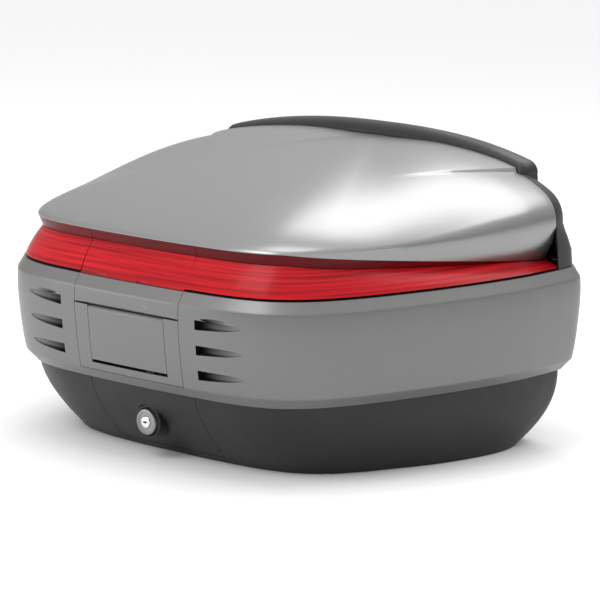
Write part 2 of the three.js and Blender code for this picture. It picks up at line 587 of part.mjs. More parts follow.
function lidBar() {
  const steps = 20;
  const sections = Array.from({ length: steps + 1 }, (_, i) =>
    barSection(THREE.MathUtils.lerp(-BAR_HALF, BAR_HALF, i / steps)));
  return cut(toSolid(sweepGeometry(sections)), domeSolid(GAP));
}

// A closed skin through sections that stand across X, each listed the same way round.
function sweepGeometry(sections) {
  const turned = sections.map((section) => section.map((p) => new THREE.Vector3(p.y, p.z, p.x)));
  const ordered = THREE.ShapeUtils.isClockWise(turned[0]) ? turned.map((r) => [...r].reverse()) : turned;
  const geometry = ringGeometry(ordered, false);
  const positions = geometry.attributes.position;
  for (let i = 0; i < positions.count; i += 1) {
    positions.setXYZ(i, positions.getZ(i), positions.getX(i), positions.getY(i));
  }
  return geometry;
}

const LENS_THICK = 3;
const SIDE_LENS_LIFT = 2; // a dark gap shows under the side reflectors
function lensHoop(lift) {
  const foot = LENS_BOTTOM + lift;
  const level = (share) => (s) => THREE.MathUtils.lerp(foot, lensTopZ(s), share);
  return hoop([
    ring(9.8, foot),
    ring(17.6, level(0.49)),
    ring(LENS_TOP_INSET, lensTopZ),
    ring(LENS_TOP_INSET + 2.5, (s) => lensTopZ(s) - 1.2),
    ring(17.6 + LENS_THICK, level(0.36)),
    ring(9.8 + LENS_THICK, foot),
  ]);
}

function sideReflector(side) {
  const from = CENTRE_HALF + SEAM / 2;
  const zone = box(side < 0 ? -FAR : from, side < 0 ? -from : FAR, -FAR, FAR, 0, FAR);
  return lensHoop(SIDE_LENS_LIFT).intersect(splitPrism(false, SEAM)).intersect(zone);
}

function centreReflector() {
  const half = CENTRE_HALF - SEAM / 2;
  return lensHoop(0).intersect(box(-half, half, OUTSIDE, 0, 0, FAR));
}

const seatPlate = (inset, half, back, z) => cut(plate(inset, ...z), box(-half, half, OUTSIDE, back, 0, FAR));

const SEAL_INSETS = [14, 18];
function rimSeal() {
  const z = [TUB_TOP + GAP, FLANGE[0] - GAP];
  return cut(seatPlate(SEAL_INSETS[0], BAY_HALF + 0.5, BAY_BACK + 0.5, z),
    seatPlate(SEAL_INSETS[1], BAY_HALF + TUB_WALL, BAY_BACK + TUB_WALL, [z[0] - 1, z[1] + 1]));
}

// The lid's rim is framed in two halves: a flange over the seal, a wall and a brow.
const sealFlange = (side) => cut(seatPlate(FLANGE_OUTER, BAY_HALF + 0.2, BAY_BACK - 0.5, FLANGE),
  seatPlate(FRAME_WALL[1], BAY_HALF + 14, BAY_BACK + 12, [FLANGE[0] - 1, FLANGE[1] + 1]))
  .intersect(sideBlock(side));

// The frame wall stands on the flange behind the reflectors.
function lidFrame(side) {
  const foot = FLANGE[1] + GAP;
  const wall = hoop([ring(FRAME_WALL[0], foot), ring(FRAME_WALL[0], lensTopZ), ring(FRAME_WALL[1], lensTopZ),
    ring(FRAME_WALL[1], foot)]);
  return cut(wall, latchKeeper(GAP)).intersect(sideBlock(side));
}

// The brow fills the step between the top of the reflectors and the lid's lower edge.
function lidBrow(side) {
  const under = (s) => lidEdgeZ(s) - GAP;
  const over = (s) => lensTopZ(s) + GAP;
  return hoop([
    ring(LENS_TOP_INSET + GAP, over),
    ring((s) => edgeInset(s) + GAP, under),
    ring(FRAME_WALL[1], under),
    ring(FRAME_WALL[1], over),
  ]).intersect(sideBlock(side));
}

const KEEPER_HALF = HOOK.outer + 4;
const KEEPER_Y = [-REAR_DEPTH + FRAME_WALL[0] + 1, -REAR_DEPTH + FRAME_WALL[1] + 4];
const KEEPER_Z = [FLANGE[1] + GAP, FLANGE[1] + GAP + 2];
const latchKeeper = (clear) => box(-KEEPER_HALF - clear, KEEPER_HALF + clear, KEEPER_Y[0] - clear * 20,
  KEEPER_Y[1] + clear, KEEPER_Z[0] - clear, KEEPER_Z[1] + clear);

function lidLining() {
  const rows = [0.31, 0.6, 0.92];
  const top = rows.map((share) => domeRing(share, WALL + 0.6));
  const bottom = rows.map((share) => domeRing(share, WALL + 5)).reverse();
  return stack([...bottom, ...top]).intersect(splitPrism(false, 8));
}

// ---------------------------------------------------------------- hinges
const LEAF_THICK = 3;
const BASE_LEAF = [FRONT_DEPTH + GAP, BELT_TOP - 45]; // face against the belt, lower end
const LID_LEAF_TOP = HINGE_Z + 30;
const KNUCKLE_GAP = 0.4;
const LEAF_SCREW_X = 13; // from the middle of the hinge
const LID_LEAF_FACE = FRONT_DEPTH - 8.6; // the lid leaf lies on a flat pad of the front section
const LID_SCREW_Z = LID_LEAF_TOP - 8;
const hingeEnds = (side) => [side * HINGE_X - HINGE_LENGTH / 2, side * HINGE_X + HINGE_LENGTH / 2];

function baseLeaf(side) {
  const [x0, x1] = hingeEnds(side);
  const [y0, y1] = [BASE_LEAF[0], BASE_LEAF[0] + LEAF_THICK];
  const leaf = box(x0, x1, y0, y1, BASE_LEAF[1], HINGE_Z).add(rodX(x0, x1, HINGE_Y, HINGE_Z, KNUCKLE_RADIUS));
  const middle = box(x0 + HINGE_LENGTH * 0.3 - KNUCKLE_GAP, x1 - HINGE_LENGTH * 0.3 + KNUCKLE_GAP,
    y0 - 10, y1 + 10, HINGE_Z - KNUCKLE_RADIUS - KNUCKLE_GAP, HINGE_Z + 10);
  return cut(leaf, middle, rodX(x0 - 1, x1 + 1, HINGE_Y, HINGE_Z, HINGE_PIN_RADIUS + GAP, 16),
    ...baseScrewPlaces(side).map(([x, z]) => rodY(x, y0 - 1, y1 + 1, z, SCREW_RADIUS + GAP, 16)));
}

const baseScrewPlaces = (side) => [-LEAF_SCREW_X, LEAF_SCREW_X].map((dx) =>
  [side * HINGE_X + dx, BASE_LEAF[1] + 10]);

// A screw along Y whose head stands on a seat.
function leafScrew([x, z], seat, back) {
  const face = seat + GAP;
  return rodY(x, back, face + 0.5, z, SCREW_RADIUS, 12).add(rodY(x, face, face + 1.2, z, SCREW_HEAD, 12));
}
const baseScrewHoles = () => both((side) => baseScrewPlaces(side)).flat().map(([x, z]) =>
  rodY(x, FRONT_DEPTH - 30, FRONT_DEPTH + 10, z, SCREW_RADIUS + GAP, 16));

function lidLeaf(side) {
  const x0 = side * HINGE_X - HINGE_LENGTH * 0.2;
  const x1 = side * HINGE_X + HINGE_LENGTH * 0.2;
  const arm = box(x0, x1, LID_LEAF_FACE, HINGE_Y, HINGE_Z - 1.5, HINGE_Z + 1.5);
  const leaf = box(x0, x1, LID_LEAF_FACE, LID_LEAF_FACE + LEAF_THICK, HINGE_Z - 1.5, LID_LEAF_TOP);
  return cut(join(arm, leaf, rodX(x0, x1, HINGE_Y, HINGE_Z, KNUCKLE_RADIUS)),
    rodX(x0 - 1, x1 + 1, HINGE_Y, HINGE_Z, HINGE_PIN_RADIUS + GAP, 16),
    rodY(side * HINGE_X, 0, FAR, LID_SCREW_Z, SCREW_RADIUS + GAP, 16));
}

const hingePin = (side) => {
  const [x0, x1] = hingeEnds(side);
  return rodX(x0 - 1.5, x1 + 1.5, HINGE_Y, HINGE_Z, HINGE_PIN_RADIUS, 16);
};

// ---------------------------------------------------------------- underside and inside
const RECEIVER = [6, RECEIVER_ROOF - GAP];
const CATCH_HALF = 20;
const CATCH_TRAVEL = 8;
const CATCH = [-RECEIVER_HALF_Y + CATCH_TRAVEL + 1, -RECEIVER_HALF_Y + 38];
const HOOK_SLOT = [30, 50, RECEIVER_HALF_Y - 34, RECEIVER_HALF_Y - 12];
const RECEIVER_SCREW = [RECEIVER_HALF_X - 12, RECEIVER_HALF_Y - 48];
const COUNTERBORE = 2.2;
const RAIL = 5.5; // width of the rails that guide the catch
const CATCH_NOSE = 8; // length of the catch's thinner finger tab
const receiverScrewPlaces = () => both((sx) =>
  both((sy) => [sx * RECEIVER_SCREW[0], sy * RECEIVER_SCREW[1]])).flat();
const receiverScrewHoles = () => receiverScrewPlaces().map(([x, y]) =>
  rodZ(x, y, 0, RECEIVER_TOP + 1, SCREW_RADIUS + GAP, 16));

function receiverScrew([x, y]) {
  const face = RECEIVER[0] + COUNTERBORE - GAP;
  const head = rodZ(x, y, face - 1.6, face, SCREW_HEAD, 12);
  return head.add(rodZ(x, y, face - 0.5, RECEIVER_TOP - 0.5, SCREW_RADIUS, 12));
}

function mountingReceiver() {
  const [halfX, halfY] = [RECEIVER_HALF_X - GAP, RECEIVER_HALF_Y - GAP];
  const body = box(-halfX, halfX, -halfY, halfY, ...RECEIVER);
  const [slotX0, slotX1, slotY0, slotY1] = HOOK_SLOT;
  const slots = both((side) =>
    box(side < 0 ? -slotX1 : slotX0, side < 0 ? -slotX0 : slotX1, slotY0, slotY1, 0, RECEIVER_ROOF));
  const rails = both((side) => {
    const [x0, x1] = [CATCH_HALF + 0.5, CATCH_HALF + 0.5 + RAIL];
    return box(side < 0 ? -x1 : x0, side < 0 ? -x0 : x1, -halfY, CATCH[1], 1.2, RECEIVER[0] + 1);
  });
  const sinks = receiverScrewPlaces().map(([x, y]) =>
    rodZ(x, y, 0, RECEIVER[0] + COUNTERBORE, SCREW_HEAD + 2 * GAP, 16));
  return cut(join(body, ...rails), ...slots, ...sinks, ...receiverScrewHoles());
}

function plateCatch() {
  const top = RECEIVER[0] - GAP;
  const block = box(-CATCH_HALF, CATCH_HALF, CATCH[0], CATCH[1] - CATCH_NOSE, 1.6, top);
  return block.add(box(-CATCH_HALF + 6, CATCH_HALF - 6, CATCH[1] - CATCH_NOSE - 1, CATCH[1], 3.4, top));
}

const MAT_THICK = 3;
const MAT_MARGIN = 8; // from the foot of the tub's wall
function floorMat() {
  const level = FLOOR_THICK + GAP;
  const margin = TUB_WALL + MAT_MARGIN;
  const mat = stack([baseRing(level, margin), baseRing(level + MAT_THICK, margin)]);
  const half = LOWER_BAY_HALF + TUB_WALL + 1;
  const bay = box(-half, half, OUTSIDE, LOWER_BAY_BACK + TUB_WALL + 1, 0, FAR);
  return cut(mat, bay, wellBlock(TUB_WALL + 0.5, 0, FAR));
}

// ---------------------------------------------------------------- finishes and assembly
const finish = (color, roughness, metalness = 0) => ({ color, roughness, metalness });
const SILVER = finish(0x9d9d9c, 0.32, 0.55);
const SILVER_MATT = finish(0x9a9997, 0.45, 0.4);
const BLACK = finish(0x1d1e1f, 0.5);
const RED = finish(0xb3101c, 0.15);
const RUBBER = finish(0x161616, 0.9);
const STEEL = finish(0x8d9093, 0.35, 1);
const CHROME = finish(0xdfe2e4, 0.12, 1);
const GREY = finish(0x77797b, 0.4, 0.6);
const FELT = finish(0x34363a, 0.95);

const base = new THREE.Group();
const lever = new THREE.Group();
const flap = new THREE.Group();
const lock = new THREE.Group();
const lid = new THREE.Group();

function put(group, name, solid, look) {
  const mesh = new THREE.Mesh(toGeometry(solid), new THREE.MeshStandardMaterial(look));
  mesh.name = name;
  group.add(mesh);
}

const sideName = (side) => (side < 0 ? "left" : "right");

put(base, "base_tub", baseTub(), BLACK);
put(base, "bay_box", bayBox(), BLACK);
put(base, "receiver_well", receiverWell(), BLACK);
put(base, "handle_surround", handleSurround(), SILVER_MATT);
put(base, "lock_panel", lockPanel(), BLACK);
put(base, "lock_housing", lockHousing(), BLACK);
put(base, "rim_seal", rimSeal(), RUBBER);
put(base, "floor_mat", floorMat(), RUBBER);
put(base, "mechanism_cover", mechanismCover(), BLACK);
coverScrewPlaces().forEach((place, i) => put(base, `cover_screw_${i + 1}`, coverScrew(place), STEEL));
receiverScrewPlaces().forEach((place, i) =>
  put(base, `receiver_screw_${i + 1}`, receiverScrew(place), STEEL));
put(base, "mounting_receiver", mountingReceiver(), BLACK);
put(base, "plate_catch", plateCatch(), STEEL);
put(base, "release_bolt", releaseBolt(), STEEL);
put(base, "lever_pin", axisPin(CENTRE_HALF + EAR, LEVER_AXIS), STEEL);
put(base, "flap_pin", axisPin(FLAP_HALF + EAR, FLAP_AXIS), STEEL);
both((side) => {
  put(base, `hinge_base_${sideName(side)}`, baseLeaf(side), STEEL);
  put(base, `hinge_pin_${sideName(side)}`, hingePin(side), STEEL);
  baseScrewPlaces(side).forEach((place, i) =>
    put(base, `hinge_screw_${sideName(side)}_${i + 1}`,
      leafScrew(place, BASE_LEAF[0] + LEAF_THICK, FRONT_DEPTH - 15), STEEL));
  put(lid, `hinge_lid_${sideName(side)}`, lidLeaf(side), STEEL);
  put(lid, `hinge_lid_screw_${sideName(side)}`,
    leafScrew([side * HINGE_X, LID_SCREW_Z], LID_LEAF_FACE + LEAF_THICK, FRONT_DEPTH - 14), STEEL);
  put(lid, `reflector_${sideName(side)}`, sideReflector(side), RED);
  put(base, `tub_wall_${sideName(side)}`, tubWall(side), BLACK);
  put(base, `belt_band_${sideName(side)}`, beltBand(side), SILVER_MATT);
  put(lid, `seal_flange_${sideName(side)}`, sealFlange(side), BLACK);
  put(lid, `lid_frame_${sideName(side)}`, lidFrame(side), BLACK);
  put(lid, `lid_brow_${sideName(side)}`, lidBrow(side), RED);
});

put(lever, "lever_strip", leverStrip(), SILVER_MATT);
put(lever, "lever_frame", leverFrame(), BLACK);
put(lever, "reflector_centre", centreReflector(), RED);
put(flap, "handle_flap", handleFlap(), SILVER_MATT);
put(flap, "flap_grip", flapGrip(), RUBBER);
put(lock, "lock_barrel", lockBarrel(), GREY);
put(lock, "key_plug", keyPlug(), CHROME);
put(lock, "lock_cam", lockCam(), STEEL);
put(lid, "lid_shell", lidShell(), SILVER);
put(lid, "lid_front", lidFront(), BLACK);
put(lid, "lid_bar", lidBar(), BLACK);
put(lid, "lid_lining", lidLining(), FELT);
put(lid, "latch_keeper", latchKeeper(0), STEEL);

const topCase = new THREE.Group();
topCase.add(base, lever, flap, lock, lid);
export default topCase;
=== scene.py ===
"""Looks of a motorcycle top case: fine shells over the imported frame, finishes, light and camera.

Outlines and profiles are in millimetres, as the frame was drawn, and meshes are written in metres.
"""

import functools
import json
import math

import bpy
import numpy as np
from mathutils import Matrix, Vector


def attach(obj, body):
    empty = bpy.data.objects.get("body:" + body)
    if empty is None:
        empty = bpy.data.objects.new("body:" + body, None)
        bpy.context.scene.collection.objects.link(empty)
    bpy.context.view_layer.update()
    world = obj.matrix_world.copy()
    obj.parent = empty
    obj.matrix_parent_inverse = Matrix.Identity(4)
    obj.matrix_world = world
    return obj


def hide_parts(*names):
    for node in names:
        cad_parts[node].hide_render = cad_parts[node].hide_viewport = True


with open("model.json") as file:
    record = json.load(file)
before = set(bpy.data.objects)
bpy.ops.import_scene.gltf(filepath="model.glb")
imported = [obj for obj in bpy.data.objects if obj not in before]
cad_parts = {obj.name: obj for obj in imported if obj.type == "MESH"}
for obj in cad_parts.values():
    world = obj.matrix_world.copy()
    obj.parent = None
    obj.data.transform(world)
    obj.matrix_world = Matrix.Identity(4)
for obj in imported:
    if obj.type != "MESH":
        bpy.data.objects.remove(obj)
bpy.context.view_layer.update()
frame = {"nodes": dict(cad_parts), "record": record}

# ---------------------------------------------------------------- sizes, in millimetres
MM = 0.001
HALF_WIDTH = 297.0
REAR_DEPTH = 218.0
FRONT_DEPTH = 213.0
BELT_BOTTOM = 81.5
BELT_TOP = 195.0
LID_EDGE_REAR = 241.0
LID_EDGE_FALL = 0.109
LID_CROWN = 310.0
LID_CREST_Y = 178.0
BAR_TOP = 323.0
WALL = 3.0
TUB_WALL = 4.0
PANEL_THICK = 1.8
GAP = 0.3
SEAM = 0.6
CENTRE_HALF = 77.5
FLAP_HALF = 56.2
FLAP_BOTTOM = 105.0
LEVER_BOTTOM = 165.2
BAY_HALF = 80.0
BAY_BACK = 42 - REAR_DEPTH
LOCK_Z = 40.6
LOCK_FRONT = 33.5 - REAR_DEPTH
LOCK_RADIUS = 14.0
PLUG_RADIUS = 6.3
PIN_RADIUS = 1.6
RECEIVER_HALF_X = 70.0
RECEIVER_HALF_Y = 110.0
RECEIVER_TOP = 15.5
HINGE_X = 130.0  # each hinge's distance from the middle
LEAF_SCREW_X = 13.0  # the base leaf's screws, from the middle of the hinge
SCREW_BORE = 2.5
WIDEST = HALF_WIDTH + 0.2  # half the width the belly reaches between its control points
STEPS = 260  # points round each ring
FAR = HALF_WIDTH + REAR_DEPTH  # beyond the case on every side

BELLY = [
    (0, -1), (0.26, -0.991), (0.488, -0.961), (0.633, -0.89), (0.741, -0.757), (0.818, -0.573),
    (0.882, -0.33), (0.933, -0.083), (0.976, 0.206), (1, 0.482), (1, 0.7), (0.982, 0.864),
    (0.91, 0.956), (0.74, 0.992), (0.4, 1), (0, 1),
]
FLOOR = [
    (0, -0.647), (0.222, -0.642), (0.41, -0.615), (0.535, -0.56), (0.625, -0.462), (0.69, -0.33),
    (0.746, -0.165), (0.8, 0), (0.84, 0.19), (0.862, 0.415), (0.845, 0.57), (0.795, 0.69),
    (0.7, 0.765), (0.56, 0.815), (0.33, 0.845), (0, 0.85),
]


# ---------------------------------------------------------------- outlines
def control_points(half):
    """The right half given as shares, mirrored into a closed loop of plan points."""
    right = [(x * HALF_WIDTH, y * (REAR_DEPTH if y < 0 else FRONT_DEPTH)) for x, y in half]
    return np.array(right + [(-x, y) for x, y in right[1:-1][::-1]])


def on_curve(points, share):
    """Points of the closed centripetal spline at shares of its way round."""
    count = len(points)
    place = (np.asarray(share) % 1.0) * count
    first = np.floor(place).astype(int)
    t = (place - first)[:, None]
    p0, p1, p2, p3 = (points[(first + k) % count] for k in (-1, 0, 1, 2))
    d0, d1, d2 = (np.hypot(*(b - a).T)[:, None] ** 0.5 for a, b in ((p0, p1), (p1, p2), (p2, p3)))
    start = ((p1 - p0) / d0 - (p2 - p0) / (d0 + d1) + (p2 - p1) / d1) * d1
    end = ((p2 - p1) / d1 - (p3 - p1) / (d1 + d2) + (p3 - p2) / d2) * d1
    square = -3 * p1 + 3 * p2 - 2 * start - end
    cube = 2 * p1 - 2 * p2 + start + end
    return p1 + start * t + square * t**2 + cube * t**3


SHARES = np.arange(STEPS) / STEPS
BELLY_RING = on_curve(control_points(BELLY), SHARES)
BELLY_RING[:, 0] = BELLY_RING[:, 0].clip(-WIDEST, WIDEST)
FLOOR_RING = on_curve(control_points(FLOOR), SHARES)
_ahead = on_curve(control_points(BELLY), SHARES + 1e-4) - on_curve(control_points(BELLY), SHARES - 1e-4)
_ahead /= np.hypot(*_ahead.T)[:, None]
INWARD = np.column_stack([-_ahead[:, 1], _ahead[:, 0]])
BX, BY = BELLY_RING.T


def smooth(value, start, end):
    t = np.clip((value - start) / (end - start), 0, 1)
    return t * t * (3 - 2 * t)


def ring(inset, z):
    """A ring set in from the belly outline; inset and z are numbers or one value for each point."""
    plan = BELLY_RING + INWARD * np.broadcast_to(inset, STEPS)[:, None]
    return np.column_stack([plan, np.broadcast_to(z, STEPS)])


def rings(profile):
    return [ring(inset, z) for inset, z in profile]


# ---------------------------------------------------------------- solids as mesh objects
def new_object(name, points, faces):
    mesh = bpy.data.meshes.new(name)
    mesh.from_pydata((np.asarray(points, float) * MM).tolist(), [], faces)
    mesh.update()
    thing = bpy.data.objects.new(name, mesh)
    bpy.context.scene.collection.objects.link(thing)
    return thing


def band_faces(count, first, second):
    return [(first + i, first + (i + 1) % count, second + (i + 1) % count, second + i) for i in range(count)]


def stack(layers, low_tip=None, high_tip=None):
    """A solid through rings from below to above, closed flat or with a fan to a tip."""
    count = len(layers[0])
    points = np.vstack(layers)
    faces = []
    for k in range(len(layers) - 1):
        faces += band_faces(count, k * count, (k + 1) * count)
    last = (len(layers) - 1) * count
    extra = []
    if low_tip is None:
        faces.append(tuple(range(count - 1, -1, -1)))
    else:
        extra.append(low_tip)
        tip = len(points) + len(extra) - 1
        faces += [((i + 1) % count, i, tip) for i in range(count)]
    if high_tip is None:
        faces.append(tuple(range(last, last + count)))
    else:
        extra.append(high_tip)
        tip = len(points) + len(extra) - 1
        faces += [(last + i, last + (i + 1) % count, tip) for i in range(count)]
    if extra:
        points = np.vstack([points, extra])
    return new_object("solid", points, faces)


def hoop(layers):
    """A ring-shaped solid whose section is the loop of rings."""
    count = len(layers[0])
    faces = []
    for k in range(len(layers)):
        faces += band_faces(count, k * count, ((k + 1) % len(layers)) * count)
    return new_object("solid", np.vstack(layers), faces)


def box(x0, x1, y0, y1, z0, z1):
    low = [(x0, y0, z0), (x1, y0, z0), (x1, y1, z0), (x0, y1, z0)]
    high = [(x, y, z1) for x, y, _ in low]
    return stack([np.array(low), np.array(high)])


def prism(outline, z0, z1):
    plan = np.array(outline, float)
    return stack([np.column_stack([plan, np.full(len(plan), z)]) for z in (z0, z1)])


def lathe_y(profile, x, z, sides=64):
    """A turned solid about a line along Y; profile rows are (radius, y), front to back."""
    angles = np.arange(sides) / sides * math.tau
    layers = [
        np.column_stack([x + r * np.cos(angles), np.full(sides, y), z + r * np.sin(angles)])
        for r, y in profile
    ]
    turned = stack(layers)
    turned.data.flip_normals()
    return turned


def rod_x(x0, x1, y, z, radius, sides=32):
    angles = np.arange(sides) / sides * math.tau
    layers = [
        np.column_stack([np.full(sides, x), y + radius * np.cos(angles), z + radius * np.sin(angles)])
        for x in (x0, x1)
    ]
    return stack(layers)


def combine(target, operation, *tools):
    """Adds, cuts or intersects tools with the target, and uses them up."""
    for tool in tools:
        step = target.modifiers.new("step", "BOOLEAN")
        step.operation = operation
        step.solver = "MANIFOLD"
        step.object = tool
        bpy.context.view_layer.update()
        depsgraph = bpy.context.evaluated_depsgraph_get()
        mesh = bpy.data.meshes.new_from_object(target.evaluated_get(depsgraph))
        target.modifiers.clear()
        target.data = mesh
        bpy.data.objects.remove(tool)
    return target


def cut(target, *tools):
    return combine(target, "DIFFERENCE", *tools)


def join(target, *tools):
    return combine(target, "UNION", *tools)


def keep(target, *tools):
    return combine(target, "INTERSECT", *tools)


def mirrored(outline):
    return [(-x, y) for x, y in outline][::-1]


# ---------------------------------------------------------------- belt band profile
CHAMFER_LOW = 11.5
CHAMFER_TOP = 12.0
BELT_LOW_INSET = 20.0
BELT_TOP_INSET = 8.5
SHOULDER_INSET = 1.0
EASE = 1.3  # half width of the rounding along the belt's two creases


def belt_level(share):
    return BELT_BOTTOM + share * (BELT_TOP - BELT_BOTTOM)


BELT_KNOTS = np.array([
    (BELT_LOW_INSET, BELT_BOTTOM), (8.7, BELT_BOTTOM + CHAMFER_LOW), (3.7, belt_level(0.37)),
    (1.0, belt_level(0.62)), (0.3, belt_level(0.78)), (SHOULDER_INSET, BELT_TOP - CHAMFER_TOP),
    (BELT_TOP_INSET, BELT_TOP),
])


def belt_face(z):
    """The belt's smooth face between its two creases, as a polynomial through the knots."""
    knots = BELT_KNOTS[1:-1]
    return np.polyval(np.polyfit(knots[:, 1], knots[:, 0], 4), z)


def belt_inset(z):
    low, high = BELT_KNOTS[1, 1], BELT_KNOTS[-2, 1]
    edge_low = np.interp(z, BELT_KNOTS[:2, 1], BELT_KNOTS[:2, 0])
    edge_high = np.interp(z, BELT_KNOTS[-2:, 1], BELT_KNOTS[-2:, 0])
    return np.where(z < low, edge_low, np.where(z > high, edge_high, belt_face(z)))


def eased_belt_inset(z):
    offsets = np.linspace(-EASE, EASE, 7)
    return float(np.mean([belt_inset(np.clip(z + d, BELT_BOTTOM, BELT_TOP)) for d in offsets]))


BELT_LEVELS = np.concatenate([
    [BELT_BOTTOM, BELT_BOTTOM + 5, 91.4], np.arange(92.0, 94.6, 0.5), np.linspace(97, 179, 12),
    np.arange(181.5, 184.6, 0.5), [186, 190.5, BELT_TOP],
])


def belt_rows(extra):
    return [(eased_belt_inset(z) + extra, z) for z in BELT_LEVELS]


def belt_shell():
    return hoop(rings(belt_rows(0) + belt_rows(WALL)[::-1]))


def belt_core():
    return stack(rings(belt_rows(0)))


# ---------------------------------------------------------------- base tub
TUB_TOP = BELT_TOP - 5.5
BASE_TOP = BELT_BOTTOM - 0.5
BASE_INSET = BELT_LOW_INSET + WALL + SEAM
FLOOR_THICK = 3.5
RIM_OUTER = SHOULDER_INSET + WALL + (BELT_TOP_INSET - SHOULDER_INSET) * 0.54 + 0.5
RIM_INNER = 18.5
OUTSIDE = -REAR_DEPTH - 20
REAR_ZONE = 68 - REAR_DEPTH


def base_ring(z, extra, level=None):
    power = 1.5 + 0.8 * smooth(BY, -0.9 * REAR_DEPTH, -0.1 * REAR_DEPTH)
    share = (((BASE_TOP - z) / BASE_TOP) ** power)[:, None]
    top = ring(BASE_INSET, z)[:, :2]
    plan = top + (FLOOR_RING - top) * share + INWARD * extra
    return np.column_stack([plan, np.full(STEPS, z if level is None else level)])


def base_rings(extra):
    shares = [0, 0.012, 0.03, 0.06, 0.1, 0.15, 0.21, 0.28, 0.36, 0.45, 0.55, 0.66, 0.78, 0.9, 1]
    return [base_ring(share * BASE_TOP, extra) for share in shares]


def base_solid(extra):
    return stack(base_rings(extra))


def wall_profile(extra, top):
    return [(BASE_INSET - 3 + extra, BELT_BOTTOM + 13.5), (12.5 + extra, belt_level(0.5)), (11 + extra, top)]


def tub_outer():
    rim = [(RIM_OUTER, TUB_TOP - 2), (RIM_OUTER, TUB_TOP - 0.5), (RIM_OUTER + 0.5, TUB_TOP)]
    return base_rings(0) + rings(wall_profile(0, TUB_TOP - 6) + rim)


def tub_inner():
    rim = [(RIM_INNER, TUB_TOP), (RIM_INNER, TUB_TOP - 4)]
    low = []
    for share in (0.97, 0.8, 0.62, 0.48, 0.36, 0.25, 0.16, 0.09, 0.045, 0.015, 0):
        level = FLOOR_THICK + share * (BASE_TOP - FLOOR_THICK)
        low.append(base_ring(level - FLOOR_THICK * (1 - share), TUB_WALL, level))
    return rings(rim + wall_profile(TUB_WALL, TUB_TOP - 4)[::-1]) + low


LOWER_BAY_HALF = 34.0
LOWER_BAY_BACK = 88 - REAR_DEPTH
LOWER_BAY = (15.0, 76.0)
UPPER_BAY_BOTTOM = 62.0
HOUSING_RADIUS = LOCK_RADIUS + 4.5
HOUSING_BACK = 71 - REAR_DEPTH
PANEL_BOTTOM = 8.0


def bay_cavity():
    upper = box(-BAY_HALF, BAY_HALF, OUTSIDE, BAY_BACK, BASE_TOP, TUB_TOP + 1)
    step = box(-BAY_HALF, BAY_HALF, BAY_BACK - 9, BAY_BACK, UPPER_BAY_BOTTOM, BASE_TOP + 1)
    lower = box(-LOWER_BAY_HALF, LOWER_BAY_HALF, BAY_BACK - 4, LOWER_BAY_BACK, *LOWER_BAY)
    return join(upper, keep(join(lower, step), base_solid(TUB_WALL)))


def panel_zone(clear, top):
    half = CENTRE_HALF + clear
    return box(-half, half, OUTSIDE, -0.4 * REAR_DEPTH, PANEL_BOTTOM - clear, top)


def well_block(grow, z0, z1):
    half_x, half_y = RECEIVER_HALF_X + grow, RECEIVER_HALF_Y + grow
    return box(-half_x, half_x, -half_y, half_y, z0, z1)


def lock_hole():
    return lathe_y([(HOUSING_RADIUS + GAP, OUTSIDE), (HOUSING_RADIUS + GAP, REAR_ZONE)], 0, LOCK_Z)


def base_screw_holes():
    shifts = (-LEAF_SCREW_X, LEAF_SCREW_X)
    profile = [(SCREW_BORE, FRONT_DEPTH - 30), (SCREW_BORE, FRONT_DEPTH + 10)]
    places = [(side * HINGE_X + dx, BELT_TOP - 35) for side in (-1, 1) for dx in shifts]
    return [lathe_y(profile, x, z, 24) for x, z in places]


def slab(z0, z1):
    return box(-FAR, FAR, -FAR, FAR, z0, z1)


def tub_shell():
    return cut(stack(tub_outer() + tub_inner()), bay_cavity())


def base_tub():
    seat = cut(panel_zone(SEAM, BASE_TOP + 1), base_solid(PANEL_THICK + GAP))
    well = well_block(TUB_WALL + GAP, -1, RECEIVER_TOP)
    return cut(tub_shell(), slab(BASE_TOP, FAR), well, seat, lock_hole())


def side_block(side):
    """Everything on one side of the middle, so close to it that two halves look like one moulding."""
    x0, x1 = sorted((side * GAP / 20, side * FAR))
    return box(x0, x1, -FAR, FAR, -1, FAR)


def tub_wall(side):
    return cut(keep(tub_shell(), side_block(side)), slab(-1, BASE_TOP + GAP), *base_screw_holes())


def lock_panel():
    skin = cut(base_solid(0), base_solid(PANEL_THICK))
    return cut(keep(skin, panel_zone(0, BASE_TOP - 0.4)), lock_hole())


# ---------------------------------------------------------------- belt band, surround, flap, lever
LEVER_AXIS = (6 - REAR_DEPTH, LEVER_BOTTOM + 5.4)
FLAP_AXIS = (5.8 - REAR_DEPTH, LEVER_BOTTOM - 5.6)
LEVER_BARREL = 5.5
FLAP_BARREL = 5.2
FINGER_GAP = 3.5
EAR = 5.0
LOUVRE_Z = (110.0, 137.0, 164.0)
LOUVRE_INNER = 100.0
LOUVRE_LENGTH = 58.0
LOUVRE_DEPTH = 8.5
LOUVRE_SIDES = 28  # points round each section of a louvre


def belt_y(x):
    """Where the belt's rear face stands at a distance from the middle."""
    rear = (BY < 0) & (BX > 0)
    return np.interp(x, BX[rear], BY[rear])


